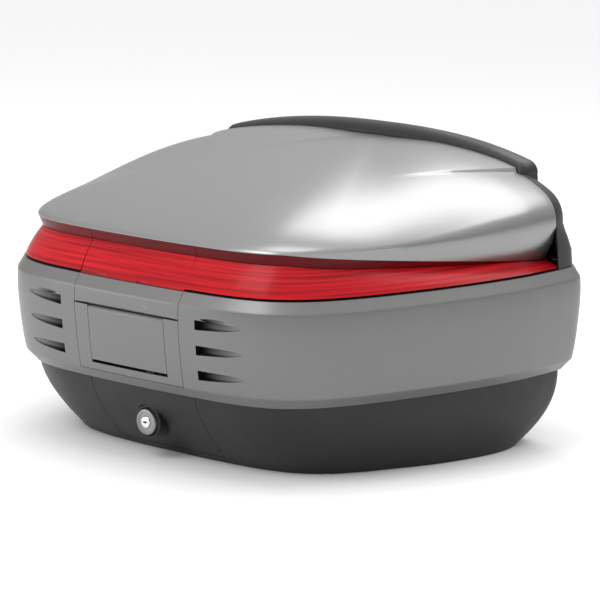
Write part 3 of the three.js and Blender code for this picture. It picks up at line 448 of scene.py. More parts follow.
def louvre(side, level, swell):
    """A scoop: deep and square at its inner end, shallow and rounded at its tip."""
    angles = np.arange(LOUVRE_SIDES) / LOUVRE_SIDES * math.tau
    layers = []
    for t in (0, 0.03, 0.1, 0.2, 0.32, 0.45, 0.58, 0.7, 0.8, 0.88, 0.94, 0.98, 1):
        x = LOUVRE_INNER + t * LOUVRE_LENGTH + swell * (2 * t - 1)
        half = 5.2 * (1 - 0.35 * t) * (1 - t**5) ** 0.6 + swell + 0.05
        depth = LOUVRE_DEPTH * (1 - t) ** 0.6 + swell + 0.05
        face = belt_y(x) + eased_belt_inset(level)
        middle = level + 1.6 * t
        reach = np.where(np.sin(angles) > 0, depth, 5.0)
        y = face + reach * np.sign(np.sin(angles)) * np.abs(np.sin(angles)) ** 0.6
        z = middle + half * np.sign(np.cos(angles)) * np.abs(np.cos(angles)) ** 0.6
        layers.append(np.column_stack([np.full(LOUVRE_SIDES, side * x), y, z]))
    scoop = stack(layers)
    if side > 0:
        scoop.data.flip_normals()
    return scoop


def belt_band(side):
    """One half of the belt, with its three louvres and the ear that carries the lever's pin."""
    half = CENTRE_HALF + SEAM / 2
    opening = box(-half, half, OUTSIDE, -0.8 * REAR_DEPTH, BELT_BOTTOM + CHAMFER_LOW, BELT_TOP + 1)
    band = cut(belt_shell(), opening)
    for level in LOUVRE_Z:
        band = join(band, keep(louvre(side, level, 1.5), belt_core()))
        band = cut(band, louvre(side, level, 0))
    y, z = LEVER_AXIS
    x0, x1 = sorted((side * half, side * (half + EAR)))
    ear = keep(box(x0, x1, y - 5, y + 4.5, z - 5, z + 5), belt_core())
    bore = rod_x(-FAR / 2, FAR / 2, y, z, PIN_RADIUS + GAP)
    return keep(cut(join(band, ear), bore, *base_screw_holes()), side_block(side))


def handle_surround():
    top = LEVER_BOTTOM - 0.4
    half = CENTRE_HALF - SEAM / 2
    zone = box(-half, half, OUTSIDE, -0.8 * REAR_DEPTH, BELT_BOTTOM + CHAMFER_LOW + SEAM, top)
    hole = box(-FLAP_HALF - SEAM, FLAP_HALF + SEAM, OUTSIDE, -0.8 * REAR_DEPTH, FLAP_BOTTOM - FINGER_GAP, FAR)
    made = cut(keep(belt_shell(), zone), hole)
    y, z = FLAP_AXIS
    for side in (-1, 1):
        x0, x1 = sorted((side * (FLAP_HALF + SEAM), side * (FLAP_HALF + SEAM + EAR)))
        made = join(made, keep(box(x0, x1, y - 5, y + 5, z - 6, top), belt_core()))
    reach = FLAP_HALF + SEAM + EAR + 1
    return cut(made, rod_x(-reach, reach, y, z, PIN_RADIUS + GAP))


def handle_flap():
    y, z = FLAP_AXIS
    panel = keep(belt_shell(), box(-FLAP_HALF, FLAP_HALF, OUTSIDE, REAR_ZONE, FLAP_BOTTOM, z))
    barrel = keep(rod_x(-FLAP_HALF, FLAP_HALF, y, z, FLAP_BARREL), belt_core())
    lip = box(-FLAP_HALF, FLAP_HALF, OUTSIDE, 14 - REAR_DEPTH, FLAP_BOTTOM, FLAP_BOTTOM + 2.6)
    return cut(join(panel, barrel, keep(lip, belt_core())), rod_x(-FAR / 2, FAR / 2, y, z, PIN_RADIUS + GAP))


def flap_grip():
    rows = [(9.4, 4), (7.6, 16), (8.4, 17), (11.2, 17), (12, 16), (14, 4)]
    grip = hoop(rings([(inset, FLAP_BOTTOM + up) for inset, up in rows]))
    return keep(grip, box(-FLAP_HALF + 5, FLAP_HALF - 5, OUTSIDE, REAR_ZONE, 0, FAR))


def lever_strip():
    y, z = LEVER_AXIS
    half = CENTRE_HALF - SEAM / 2
    strip = keep(belt_shell(), box(-half, half, OUTSIDE, REAR_ZONE, z, BELT_TOP + 1))
    barrel = keep(rod_x(-half, half, y, z, LEVER_BARREL), belt_core())
    return cut(join(strip, barrel), rod_x(-FAR / 2, FAR / 2, y, z, PIN_RADIUS + GAP))


# ---------------------------------------------------------------- lid surface
EQUATOR = LID_EDGE_REAR + 1
CREST = np.array([0.0, LID_CREST_Y])
# The flank crease in plan, as angle round the crest in degrees and share of the way from rim to crest.
CREASE = np.array([
    (-62.8, 0.493), (-56.3, 0.488), (-47.9, 0.460), (-38.7, 0.414),
    (-29.6, 0.366), (-17.1, 0.306), (-3.5, 0.226),
])
CREASE_FIT = np.polyfit(CREASE[:, 0], CREASE[:, 1], 3)
CREASE_FACE = 0.007  # width of the crease's face, as a share
LEDGE = 2.4  # how far the middle stands up inside the creases, at the bar
HOLLOW = 1.6  # how far the flank is sunk outside them
STEP_START = -44.0  # angle from which the step grows
CREST_SOFT = 12.0  # how far round it the crest is softened
CREST_TURNS = 12  # directions in which the softening looks

CORNER = 8 * smooth(BY, 0.7 * FRONT_DEPTH, 0.92 * FRONT_DEPTH) * smooth(np.abs(BX), 120, 230)
EQUATOR_INSET = 24 - 10 * smooth(BY, -0.92 * REAR_DEPTH, 0.6 * FRONT_DEPTH) + CORNER
LID_EDGE_Z = np.maximum(LID_EDGE_REAR - LID_EDGE_FALL * np.maximum(BY + 0.86 * REAR_DEPTH, 0), BELT_TOP + 9.5)
LENS_TOP_Z = LID_EDGE_Z - 1.2 - 10.8 * smooth(LID_EDGE_Z, BELT_TOP + 9, LID_EDGE_REAR)
EDGE_INSET = EQUATOR_INSET + 17 * ((EQUATOR - LID_EDGE_Z) / 37) ** 1.6
TUCK_INSET = EQUATOR_INSET + 17 * ((EQUATOR - LID_EDGE_Z) / 74) ** 1.6
TUCK_Z = (LID_EDGE_Z + EQUATOR) / 2


def rim_polar(inward):
    """The widest ring of the lid round the crest: angles in order, and distances."""
    away = ring(EQUATOR_INSET + inward, 0)[:, :2] - CREST
    angle = np.arctan2(away[:, 1], away[:, 0])
    order = np.argsort(angle)
    return angle[order], np.hypot(*away.T)[order]


def lid_share(x, y, polar):
    """How far a plan point lies from the rim to the crest, and its angle below or above the crest line."""
    dx, dy = x - CREST[0], y - CREST[1]
    rim = np.interp(np.arctan2(dy, dx), *polar, period=math.tau)
    share = np.clip(1 - np.hypot(dx, dy) / rim, 0, 1)
    return share, np.degrees(np.arctan2(dy, np.abs(dx)))


def plain_dome(x, y, inward, polar):
    share, angle = lid_share(x, y, polar)
    power = 1.5 + 1.1 * smooth(angle, -55, -5) + 2.4 * smooth(angle, 5, 60)
    rise = (1 - (1 - share) ** power) ** (1 / power)
    return EQUATOR + (LID_CROWN - inward - EQUATOR) * rise


def crease_share(angle):
    return np.polyval(CREASE_FIT, np.clip(angle, CREASE[0, 0], CREASE[-1, 0]))


def crease_rise(x, y, polar):
    """Height of the ledge inside the flank creases, and depth of the hollow outside them."""
    share, angle = lid_share(x, y, polar)
    growth = np.clip((angle - STEP_START) / (CREASE[-1, 0] - STEP_START), 0, 1) ** 1.6
    face = CREASE_FACE / 2
    inside = smooth(share - crease_share(angle), -face, face)
    step = growth * smooth(np.abs(x), 0, 110)
    near = smooth(share, 0.02, 0.12)
    return step * (LEDGE * inside - HOLLOW * near * (1 - inside))


def lid_height(x, y, inward, polar):
    """The dome, softened round its crest, with the crease on top."""
    share, _ = lid_share(x, y, polar)
    radius = CREST_SOFT * smooth(share, 0.55, 0.92)
    total = 2 * plain_dome(x, y, inward, polar)
    weight = 2
    for reach in (0.5, 1.0):
        for turn in np.arange(CREST_TURNS) / CREST_TURNS * math.tau:
            dx, dy = radius * reach * math.cos(turn), radius * reach * math.sin(turn)
            total += plain_dome(x + dx, y + dy, inward, polar)
            weight += 1
    return total / weight + crease_rise(x, y, polar)


OUTER_ROWS = [
    0, 0.006, 0.018, 0.038, 0.066, 0.105, 0.155, 0.215, 0.285, 0.365, 0.455, 0.55, 0.65, 0.75, 0.85, 0.94,
]
INNER_ROWS = [*np.linspace(0.02, 0.96, 26)]


def dome_rows(inward):
    """Rings from the rim to the crest, two of them laid along the crease."""
    polar = rim_polar(inward)
    rim = ring(EQUATOR_INSET + inward, 0)[:, :2]
    away = rim - CREST
    angle = np.degrees(np.arctan2(away[:, 1], np.abs(away[:, 0])))
    low, high = crease_share(angle) - CREASE_FACE / 2, crease_share(angle) + CREASE_FACE / 2
    rows = [low * f for f in OUTER_ROWS] + [low, high] + [high + (1 - high) * f for f in INNER_ROWS]
    made = []
    for share in rows:
        plan = rim + (CREST - rim) * share[:, None]
        made.append(np.column_stack([plan, lid_height(plan[:, 0], plan[:, 1], inward, polar)]))
    made[0][:, 2] = EQUATOR
    tip = np.array([[*CREST]])
    return made, (*CREST, float(lid_height(tip[:, 0], tip[:, 1], inward, polar)[0]))


def dome_solid(grow):
    rows, tip = dome_rows(-grow)
    return stack([ring(EDGE_INSET - grow, LID_EDGE_Z), *rows], high_tip=tip)


def split_y(x):
    return 182 - 30 * (x / (0.943 * HALF_WIDTH)) ** 2


def split_prism(front, clear):
    far = FRONT_DEPTH + 50 if front else -REAR_DEPTH - 50
    reach = HALF_WIDTH + 10
    x = np.linspace(-reach, reach, 61)
    curve = [(a, split_y(a) + (clear if front else -clear)) for a in x]
    outline = curve + [(reach, far), (-reach, far)]
    return prism(outline if front else outline[::-1], 0, FAR)


def lid_shell():
    outer, high = dome_rows(0)
    inner, low = dome_rows(WALL)
    skin = stack(
        inner[::-1]
        + [
            ring(TUCK_INSET + WALL, TUCK_Z), ring(EDGE_INSET + WALL, LID_EDGE_Z),
            ring(EDGE_INSET, LID_EDGE_Z), ring(TUCK_INSET, TUCK_Z),
        ]
        + outer,
        low_tip=low,
        high_tip=high,
    )
    front_wall = box(-0.67 * HALF_WIDTH, 0.67 * HALF_WIDTH, 0.7 * FRONT_DEPTH, FAR, 0, EQUATOR + 18)
    return cut(keep(skin, split_prism(False, 0)), front_wall)


LENS_BOTTOM = BELT_TOP + SEAM
HINGE_Z = 199.0
LID_LEAF_TOP = HINGE_Z + 30
LID_LEAF_FACE = FRONT_DEPTH - 8.6


def lid_front():
    outer, high = dome_rows(0)
    inner, low = dome_rows(WALL)
    skirt = [(9.8, LENS_BOTTOM), (9.9, LENS_BOTTOM + 4), (10.5, BELT_TOP + 11), (10.9, BELT_TOP + 18)]
    waist = 12 + 0.4 * (EQUATOR_INSET - 14)
    skin = stack(
        inner[::-1]
        + [ring(waist + WALL, BELT_TOP + 31)]
        + rings([(inset + WALL, z) for inset, z in skirt[::-1]])
        + rings(skirt)
        + [ring(waist, BELT_TOP + 31)]
        + outer,
        low_tip=low,
        high_tip=high,
    )
    made = keep(skin, split_prism(True, SEAM))
    for side in (-1, 1):
        x = side * HINGE_X
        front, back = FRONT_DEPTH - 9.8 - WALL, LID_LEAF_FACE - GAP
        made = join(made, box(x - 11.2, x + 11.2, front, back, BELT_TOP + 7, LID_LEAF_TOP + 3))
        made = cut(made, lathe_y([(SCREW_BORE, 100), (SCREW_BORE, FAR)], x, LID_LEAF_TOP - 8, 24))
    return made


BAR_HALF = 225.0


def lid_bar():
    """The black bar along the front of the lid, swept across and rounded off at both ends."""
    steps = 96
    sections = []
    for x in np.sin(np.linspace(-1, 1, steps + 1) * math.pi / 2) * BAR_HALF:
        spine = 200 - 12 * (x / BAR_HALF) ** 2
        top = BAR_TOP - 17 * (abs(x) / 200) ** 2.5
        end = max(0.0, abs(x) - (BAR_HALF - 9)) / 9
        top -= 9 * (1 - math.sqrt(max(0.0, 1 - end**2)))
        rear = split_y(x) + SEAM + 2.5 * end**2
        front = spine + 6 - 2.5 * end**2
        outline = [
            (rear, -30), (rear, -11), (rear + 0.8, -8.6), (rear + 2.4, -6), (rear + 4.6, -3.9),
            (rear + 7.2, -2.3), (rear + 10, -1.1), (spine - 3.5, -0.1), (spine - 1, 0), (spine + 1.2, -0.5),
            (spine + 3.2, -1.9), (front - 1.2, -4.4), (front - 0.3, -7), (front, -9.6), (front, -30),
        ]
        sections.append(np.array([(x, y, top + dz) for y, dz in outline]))
    bar = stack(sections)
    bar.data.flip_normals()
    return cut(bar, dome_solid(GAP))


LENS_TOP_INSET = 28.7
SIDE_LENS_LIFT = 2.0


def lens_rows(lift):
    """The reflector's face, bowed between its lower edge, its middle and its upper edge."""
    foot = LENS_BOTTOM + lift
    rise = LENS_TOP_Z - foot
    fit = np.polyfit([0, 0.49, 1], [9.8, 17.6, LENS_TOP_INSET], 2)
    face = [ring(np.polyval(fit, t), foot + t * rise) for t in np.linspace(0, 1, 11)]
    back = [ring(LENS_TOP_INSET + 2.5, LENS_TOP_Z - 1.2), ring(20.6, foot + 0.36 * rise), ring(12.8, foot)]
    return face + back


def side_reflector(side):
    x0, x1 = sorted((side * (CENTRE_HALF + SEAM / 2), side * FAR))
    lens = hoop(lens_rows(SIDE_LENS_LIFT))
    return keep(lens, split_prism(False, SEAM), box(x0, x1, -FAR, FAR, 0, FAR))


NOTCH = (9.0, 3.0)  # width and height of the tool notches under the middle reflector
NOTCH_X = (-44, 14)


def centre_reflector():
    half = CENTRE_HALF - SEAM / 2
    made = keep(hoop(lens_rows(0)), box(-half, half, OUTSIDE, 0, 0, FAR))
    wide, high = NOTCH
    for x in NOTCH_X:
        x0, x1 = x - wide / 2, x + wide / 2
        made = cut(made, box(x0, x1, OUTSIDE, 11 - REAR_DEPTH, BELT_TOP - 5, LENS_BOTTOM + high))
    return made


# ---------------------------------------------------------------- seal, lid frame, lining, mat
FLANGE = (TUB_TOP + 3.8, TUB_TOP + 5.8)
FRAME_WALL = (32.0, 36.5)


def seat_plate(inset, half, back, z0, z1, soften=0.0):
    rows = [(inset, z0 + soften), (inset, z1 - soften)]
    if soften:
        rows = [(inset + soften, z0), *rows, (inset + soften, z1)]
    return cut(stack(rings(rows)), box(-half, half, OUTSIDE, back, 0, FAR))


def rim_seal():
    z0, z1 = TUB_TOP + GAP, FLANGE[0] - GAP
    outer = seat_plate(14, BAY_HALF + 0.5, BAY_BACK + 0.5, z0, z1, 1.1)
    return cut(outer, seat_plate(18, BAY_HALF + TUB_WALL, BAY_BACK + TUB_WALL, z0 - 1, z1 + 1))


def seal_flange(side):
    outer = seat_plate(13.3, BAY_HALF + 0.2, BAY_BACK - 0.5, *FLANGE)
    inner = seat_plate(FRAME_WALL[1], BAY_HALF + 14, BAY_BACK + 12, FLANGE[0] - 1, FLANGE[1] + 1)
    return keep(cut(outer, inner), side_block(side))


KEEPER = (48.0, 33 - REAR_DEPTH, 40.5 - REAR_DEPTH, FLANGE[1] + GAP, FLANGE[1] + GAP + 2)


def lid_frame(side):
    foot = FLANGE[1] + GAP
    outer, inner = FRAME_WALL
    wall = hoop([ring(outer, foot), ring(outer, LENS_TOP_Z), ring(inner, LENS_TOP_Z), ring(inner, foot)])
    half, y0, y1, z0, z1 = KEEPER
    seat = box(-half - GAP, half + GAP, y0 - 6, y1 + GAP, z0 - GAP, z1 + GAP)
    return keep(cut(wall, seat), side_block(side))


def lid_brow(side):
    """The reflector's upper lip, under the lid's edge, with the centre panel's joint line carried on."""
    under, over = LID_EDGE_Z - GAP, LENS_TOP_Z + GAP
    face, inner = LENS_TOP_INSET + GAP, FRAME_WALL[1]
    brow = hoop([ring(face, over), ring(EDGE_INSET + GAP, under), ring(inner, under), ring(inner, over)])
    back = belt_y(CENTRE_HALF) + face + 1
    x = side * CENTRE_HALF
    groove = box(x - SEAM / 2, x + SEAM / 2, OUTSIDE, back, LENS_BOTTOM, LID_EDGE_REAR + 5)
    return cut(keep(brow, side_block(side)), groove)


def lid_lining():
    """A felt panel under the lid, dished with the dome."""
    layers = []
    spread_out = (0.31, 0.33, 0.38, 0.46, 0.56, 0.68, 0.8, 0.92)
    for inward, shares in ((WALL + 5, spread_out), (WALL + 0.8, spread_out[::-1])):
        polar = rim_polar(inward)
        rim = ring(EQUATOR_INSET + inward, 0)[:, :2]
        for share in shares:
            plan = rim + (CREST - rim) * share
            layers.append(np.column_stack([plan, plain_dome(plan[:, 0], plan[:, 1], inward, polar)]))
    half = len(layers) // 2
    low, high = layers[:half][::-1], layers[half:][::-1]
    made = stack(low + high)
    return keep(made, split_prism(False, 8))


def floor_mat():
    level = FLOOR_THICK + GAP
    margin = TUB_WALL + 8
    rows = ((0, 0), (2.2, 0), (3, 0.8))
    mat = stack([base_ring(level + up, margin + draft) for up, draft in rows])
    lock = box(-LOWER_BAY_HALF - 5, LOWER_BAY_HALF + 5, OUTSIDE, LOWER_BAY_BACK + TUB_WALL + 1, 0, FAR)
    return cut(mat, lock, well_block(TUB_WALL + 0.5, 0, FAR))


# ---------------------------------------------------------------- lock
BARREL_FRONT = LOCK_FRONT - 3
BARREL_BACK = HOUSING_BACK - 1.5


def lock_housing():
    r = HOUSING_RADIUS
    body = lathe_y([
        (r - 1.4, LOCK_FRONT), (r - 0.5, LOCK_FRONT + 0.4), (r, LOCK_FRONT + 1.3), (r, HOUSING_BACK),
    ], 0, LOCK_Z, 96)
    bore = lathe_y([
        (LOCK_RADIUS + 2.2, LOCK_FRONT - 1), (LOCK_RADIUS + 2.2, LOCK_FRONT + 0.01),
        (LOCK_RADIUS + 1.1, LOCK_FRONT + 0.9), (LOCK_RADIUS + GAP, LOCK_FRONT + 1.4),
        (LOCK_RADIUS + GAP, HOUSING_BACK + 1),
    ], 0, LOCK_Z, 96)
    return cut(body, bore)


def lock_barrel():
    r, front = LOCK_RADIUS, BARREL_FRONT
    body = lathe_y([
        (r - 3.4, front + 0.6), (r - 3.2, front), (r - 1.3, front), (r - 0.4, front + 0.4),
        (r, front + 1.4), (r, BARREL_BACK),
    ], 0, LOCK_Z, 96)
    bore = lathe_y([(PLUG_RADIUS + GAP, front - 1), (PLUG_RADIUS + GAP, BARREL_BACK + 1)], 0, LOCK_Z, 64)
    return cut(body, bore)


def key_plug():
    r, front, back = PLUG_RADIUS, BARREL_FRONT - 0.8, BARREL_BACK + 2
    body = lathe_y([
        (r - 1.5, front), (r - 0.6, front + 0.15), (r - 0.1, front + 0.6), (r, front + 1.1), (r, back),
    ], 0, LOCK_Z, 64)
    slot = box(-3.6, 3.6, front - 1.2, front + 8.8, LOCK_Z - 0.6, LOCK_Z + 0.6)
    mouth = box(-1.3, 1.3, front - 1.2, front + 8.8, LOCK_Z - 1.2, LOCK_Z + 1.2)
    return cut(body, slot, mouth)


# ---------------------------------------------------------------- finishes
def finish(name, color, roughness, metallic=0.0, coat=0.0, coat_roughness=0.1):
    material = bpy.data.materials.new(name)
    material.use_nodes = True
    nodes, links = material.node_tree.nodes, material.node_tree.links
    nodes.clear()
    output = nodes.new("ShaderNodeOutputMaterial")
    shader = nodes.new("ShaderNodeBsdfPrincipled")
    links.new(shader.outputs["BSDF"], output.inputs["Surface"])
    shader.inputs["Base Color"].default_value = (*color, 1)
    shader.inputs["Roughness"].default_value = roughness
    shader.inputs["Metallic"].default_value = metallic
    shader.inputs["Coat Weight"].default_value = coat
    shader.inputs["Coat Roughness"].default_value = coat_roughness
    place = nodes.new("ShaderNodeTexCoord")
    return material, shader, place, nodes, links


def grain(parts, scale, detail=3.0, stretch=(1, 1, 1)):
    """Noise over the object's own coordinates."""
    _, _, place, nodes, links = parts
    mapping = nodes.new("ShaderNodeMapping")
    mapping.inputs["Scale"].default_value = stretch
    noise = nodes.new("ShaderNodeTexNoise")
    noise.inputs["Scale"].default_value = scale
    noise.inputs["Detail"].default_value = detail
    links.new(place.outputs["Object"], mapping.inputs["Vector"])
    links.new(mapping.outputs["Vector"], noise.inputs["Vector"])
    return noise.outputs["Fac"]


def bumped(parts, height, strength, distance):
    _, shader, _, nodes, links = parts
    bump = nodes.new("ShaderNodeBump")
    bump.inputs["Strength"].default_value = strength
    bump.inputs["Distance"].default_value = distance
    links.new(height, bump.inputs["Height"])
    links.new(bump.outputs["Normal"], shader.inputs["Normal"])


def spread(parts, value, low, high, socket="Roughness"):
    _, shader, _, nodes, links = parts
    reach = nodes.new("ShaderNodeMapRange")
    reach.inputs["From Min"].default_value = 0.3
    reach.inputs["From Max"].default_value = 0.7
    reach.inputs["To Min"].default_value = low
    reach.inputs["To Max"].default_value = high
    links.new(value, reach.inputs["Value"])
    links.new(reach.outputs["Result"], shader.inputs[socket])


def tinted(parts, value, dark, light):
    _, shader, _, nodes, links = parts
    ramp = nodes.new("ShaderNodeValToRGB")
    ramp.color_ramp.elements[0].position = 0.3
    ramp.color_ramp.elements[1].position = 0.7
    ramp.color_ramp.elements[0].color = (*dark, 1)
    ramp.color_ramp.elements[1].color = (*light, 1)
    links.new(value, ramp.inputs["Fac"])
    links.new(ramp.outputs["Color"], shader.inputs["Base Color"])


def paint(name, color, roughness, metallic):
    """Metallic paint: fine flakes under a satin lacquer."""
    parts = finish(name, color, roughness, metallic, coat=0.12, coat_roughness=0.25)
    flakes = grain(parts, 2600, 1.0)
    bumped(parts, flakes, 0.10, 0.0002)
    dark = tuple(c * 0.94 for c in color)
    light = tuple(min(1, c * 1.05) for c in color)
    tinted(parts, grain(parts, 1800, 2.0), dark, light)
    return parts[0]


def plastic(name, color, roughness, scale, strength, shine=0.4):
    """Moulded plastic with a fine spark-eroded texture."""
    parts = finish(name, color, roughness)
    parts[1].inputs["Specular IOR Level"].default_value = shine
    bumped(parts, grain(parts, scale, 2.0), strength, 0.0003)
    spread(parts, grain(parts, 30, 4.0), roughness - 0.05, roughness + 0.06)
    dark = tuple(c * 0.85 for c in color)
    light = tuple(c * 1.2 for c in color)
    tinted(parts, grain(parts, 700, 2.0), dark, light)
    return parts[0]


def lens_plastic(name, deep, bright):
    """Clear red lens: dark streaks run along it behind a glossy face."""
    parts = finish(name, bright, 0.32, 0.0, coat=0.08, coat_roughness=0.12)
    parts[1].inputs["Specular IOR Level"].default_value = 0.12
    streaks = grain(parts, 6, 5.0, (1, 1, 60))
    tinted(parts, streaks, deep, bright)
    bumped(parts, grain(parts, 5, 2.0, (1, 1, 110)), 0.25, 0.0006)
    return parts[0]


def louvre_painted_shade():
    """The belt's paint with painted shade: its colour darkens to near black towards the deep end of each
    louvre.
    """
    material = paint("louvre_painted_shade", BELT_SILVER, 0.5, 0.6)
    nodes, links = material.node_tree.nodes, material.node_tree.links
    shader = next(node for node in nodes if node.type == "BSDF_PRINCIPLED")
    place = next(node for node in nodes if node.type == "TEX_COORD")
    color = shader.inputs["Base Color"].links[0].from_socket
    axes = nodes.new("ShaderNodeSeparateXYZ")
    links.new(place.outputs["Object"], axes.inputs["Vector"])
    away = nodes.new("ShaderNodeMath")
    away.operation = "ABSOLUTE"
    links.new(axes.outputs["X"], away.inputs[0])
    fade = nodes.new("ShaderNodeMapRange")
    fade.inputs["From Min"].default_value = (LOUVRE_INNER + 0.2 * LOUVRE_LENGTH) * MM
    fade.inputs["From Max"].default_value = (LOUVRE_INNER + 0.85 * LOUVRE_LENGTH) * MM
    links.new(away.outputs["Value"], fade.inputs["Value"])
    blend = nodes.new("ShaderNodeMix")
    blend.data_type = "RGBA"
    # painted shade: near black at the louvre's deep end, fading to the belt's colour towards the tip
    blend.inputs["A"].default_value = (0.012, 0.012, 0.012, 1)
    links.new(fade.outputs["Result"], blend.inputs["Factor"])
    links.new(color, blend.inputs["B"])
    links.new(blend.outputs["Result"], shader.inputs["Base Color"])
    return material


def metal(name, color, roughness, scale, stretch=(1, 1, 1)):
    parts = finish(name, color, roughness, 1.0)
    spread(parts, grain(parts, scale, 4.0, stretch), roughness * 0.75, roughness * 1.35)
    bumped(parts, grain(parts, scale * 2, 2.0, stretch), 0.06, 0.0002)
    return parts[0]


def felt(name, color):
    parts = finish(name, color, 0.95)
    parts[1].inputs["Sheen Weight"].default_value = 0.4
    dark = tuple(c * 0.6 for c in color)
    light = tuple(c * 1.5 for c in color)
    tinted(parts, grain(parts, 420, 6.0), dark, light)
    bumped(parts, grain(parts, 900, 6.0), 0.6, 0.0008)
    return parts[0]


BELT_SILVER = (0.19, 0.188, 0.186)
LOOKS = {
    "black_plastic": plastic("black_plastic", (0.010, 0.0105, 0.011), 0.44, 1500, 0.30),
    "silver_belt": paint("silver_belt", BELT_SILVER, 0.42, 0.75),
    "silver_lid": paint("silver_lid", (0.28, 0.28, 0.28), 0.28, 0.88),
    "red_lens": lens_plastic("red_lens", (0.22, 0.002, 0.006), (0.60, 0.009, 0.016)),
    "rubber": plastic("rubber", (0.012, 0.012, 0.012), 0.8, 900, 0.35),
    "steel": metal("steel", (0.56, 0.56, 0.55), 0.34, 160, (1, 6, 1)),
    "chrome": metal("chrome", (0.86, 0.87, 0.88), 0.10, 90),
    "lock_grey": metal("lock_grey", (0.30, 0.30, 0.31), 0.38, 300),
    "lining": felt("lining", (0.035, 0.037, 0.042)),
}
SLOTS = {row["node"]: row["material_slot"] for row in frame["record"]["subparts"]}
BODY_OF = {node: body for body, nodes in frame["record"]["behaviour"]["bodies"].items() for node in nodes}


def shade(mesh, degrees):
    mesh.shade_smooth()
    mesh.set_sharp_from_angle(angle=math.radians(degrees))


def dress(thing, node, name, degrees=28):
    """Names a fine piece, shades it, rides it on its node's body and lets it stand for the node."""
    thing.name = name
    thing.data.name = name
    shade(thing.data, degrees)
    thing.data.materials.clear()
    thing.data.materials.append(LOOKS[SLOTS[node]])
    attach(thing, BODY_OF[node])
    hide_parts(node)
    return thing


FINE = {
    "base_tub": base_tub, "lock_panel": lock_panel,
    "handle_surround": handle_surround, "handle_flap": handle_flap, "flap_grip": flap_grip,
    "lever_strip": lever_strip, "lid_shell": lid_shell, "lid_front": lid_front, "lid_bar": lid_bar,
    "reflector_centre": centre_reflector, "rim_seal": rim_seal, "lid_lining": lid_lining,
    "floor_mat": floor_mat, "lock_housing": lock_housing, "lock_barrel": lock_barrel, "key_plug": key_plug,
}
HANDED = {
    "belt_band": belt_band,
    "tub_wall": tub_wall, "seal_flange": seal_flange, "lid_frame": lid_frame, "lid_brow": lid_brow,
    "reflector": side_reflector,
}
for part, make_side in HANDED.items():
    FINE[part + "_left"] = functools.partial(make_side, -1)
    FINE[part + "_right"] = functools.partial(make_side, 1)
pieces = {node: dress(make(), node, node + "_fine") for node, make in FINE.items()}


def paint_louvre_shade(mesh):
    """Gives the faces set back inside the belt's louvres the material with painted shade."""
    mesh.materials.append(louvre_painted_shade())
    for face in mesh.polygons:
        x, y, z = (value / MM for value in face.center)
        along = (abs(x) - LOUVRE_INNER) / LOUVRE_LENGTH
        level = min(abs(z - 1.6 * along - height) for height in LOUVRE_Z)
        if y > 0 or not -0.03 < along < 1.02 or level > 7 or face.normal.y > 0.6:
            continue
        if y - belt_y(abs(x)) - eased_belt_inset(z) > 0.35:
            face.material_index = 1


# A darker copy of the red lens for the brow: painted shade on the lip that faces down under the lid's edge.
brow_red_painted_shade = lens_plastic("brow_red_painted_shade", (0.06, 0.001, 0.002), (0.15, 0.002, 0.004))
for side in ("left", "right"):
    paint_louvre_shade(pieces["belt_band_" + side].data)
    pieces["lid_brow_" + side].data.materials[0] = brow_red_painted_shade

# Frame nodes that already have their shape: welded, eased at the edges and given their finish.
for node, thing in frame["nodes"].items():
    if node in FINE:
        continue
    thing.data.materials.clear()
    thing.data.materials.append(LOOKS[SLOTS[node]])
    weld = thing.modifiers.new("weld", "WELD")
    weld.merge_threshold = 1e-5
    ease = thing.modifiers.new("ease", "BEVEL")
    ease.width = 0.0003
    ease.segments = 2
    ease.limit_method = "ANGLE"
    ease.angle_limit = math.radians(40)

# ---------------------------------------------------------------- floor, light, camera
FLOOR_REACH = 14
floor_mesh = bpy.data.meshes.new("floor")
corners = [(x, y, -0.0005) for x, y in ((-1, -1), (1, -1), (1, 1), (-1, 1))]
floor_mesh.from_pydata([(x * FLOOR_REACH, y * FLOOR_REACH, z) for x, y, z in corners], [], [(0, 1, 2, 3)])
floor = bpy.data.objects.new("floor", floor_mesh)
bpy.context.scene.collection.objects.link(floor)
floor_mesh.materials.append(finish("floor", (0.93, 0.93, 0.93), 0.8)[0])


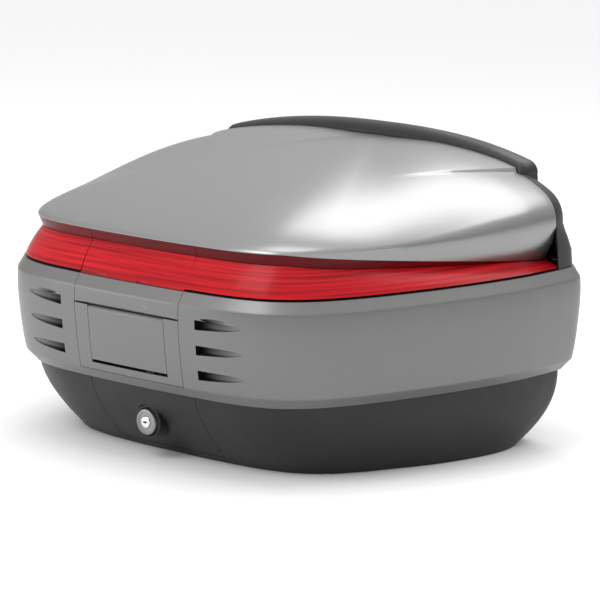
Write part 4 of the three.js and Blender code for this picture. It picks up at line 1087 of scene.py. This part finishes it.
def studio(horizon, zenith):
    """A pale surround that brightens from the horizon up."""
    world = bpy.data.worlds.new("studio")
    world.use_nodes = True
    nodes, links = world.node_tree.nodes, world.node_tree.links
    place = nodes.new("ShaderNodeTexCoord")
    axes = nodes.new("ShaderNodeSeparateXYZ")
    links.new(place.outputs["Generated"], axes.inputs["Vector"])
    level = nodes.new("ShaderNodeMapRange")
    level.inputs["From Min"].default_value = 0.0
    level.inputs["From Max"].default_value = 0.8
    level.inputs["To Min"].default_value = horizon
    level.inputs["To Max"].default_value = zenith
    links.new(axes.outputs["Z"], level.inputs["Value"])
    links.new(level.outputs["Result"], nodes["Background"].inputs["Strength"])
    nodes["Background"].inputs["Color"].default_value = (1, 1, 1, 1)
    return world


bpy.context.scene.world = studio(0.5, 1.12)
bpy.context.scene.view_settings.view_transform = "Standard"

TARGET = Vector((0, 0, 0.16))


def softbox(name, azimuth, elevation, distance, size, power):
    """A rectangular area light at a direction round the case, aimed at it. Azimuth 0 is the lock side."""
    a, e = math.radians(azimuth), math.radians(elevation)
    away = Vector((math.sin(a) * math.cos(e), -math.cos(a) * math.cos(e), math.sin(e)))
    data = bpy.data.lights.new(name, "AREA")
    data.shape = "RECTANGLE"
    data.size, data.size_y = size
    data.energy = power
    light = bpy.data.objects.new(name, data)
    light.location = TARGET + away * distance
    light.rotation_mode = "QUATERNION"
    light.rotation_quaternion = (-away).to_track_quat("-Z", "Y")
    bpy.context.scene.collection.objects.link(light)


softbox("overhead", 0, 84, 1.7, (1.0, 0.8), 5)
softbox("behind", 176, 52, 1.9, (2.4, 0.75), 16)
softbox("front", -5, 46, 1.9, (0.8, 0.8), 9)
softbox("low_left", -45, 9, 2.3, (1.2, 0.5), 6)

CAMERA_AZIMUTH, CAMERA_ELEVATION = math.radians(42.75), math.radians(11.07)
CAMERA_DISTANCE = 3.6482
CAMERA_TARGET = Vector((0, 0.052, 0.145))
camera_data = bpy.data.cameras.new("camera")
camera_data.sensor_width = 36
camera_data.lens = 197.41
camera_data.shift_x = 0.0024
camera_data.shift_y = -0.0101
camera = bpy.data.objects.new("camera", camera_data)
back = Vector((
    math.sin(CAMERA_AZIMUTH) * math.cos(CAMERA_ELEVATION),
    -math.cos(CAMERA_AZIMUTH) * math.cos(CAMERA_ELEVATION),
    math.sin(CAMERA_ELEVATION),
))
camera.location = CAMERA_TARGET + back * CAMERA_DISTANCE
camera.rotation_mode = "QUATERNION"
camera.rotation_quaternion = (-back).to_track_quat("-Z", "Y")
camera_data.clip_end = 50
bpy.context.scene.collection.objects.link(camera)
bpy.context.scene.camera = camera
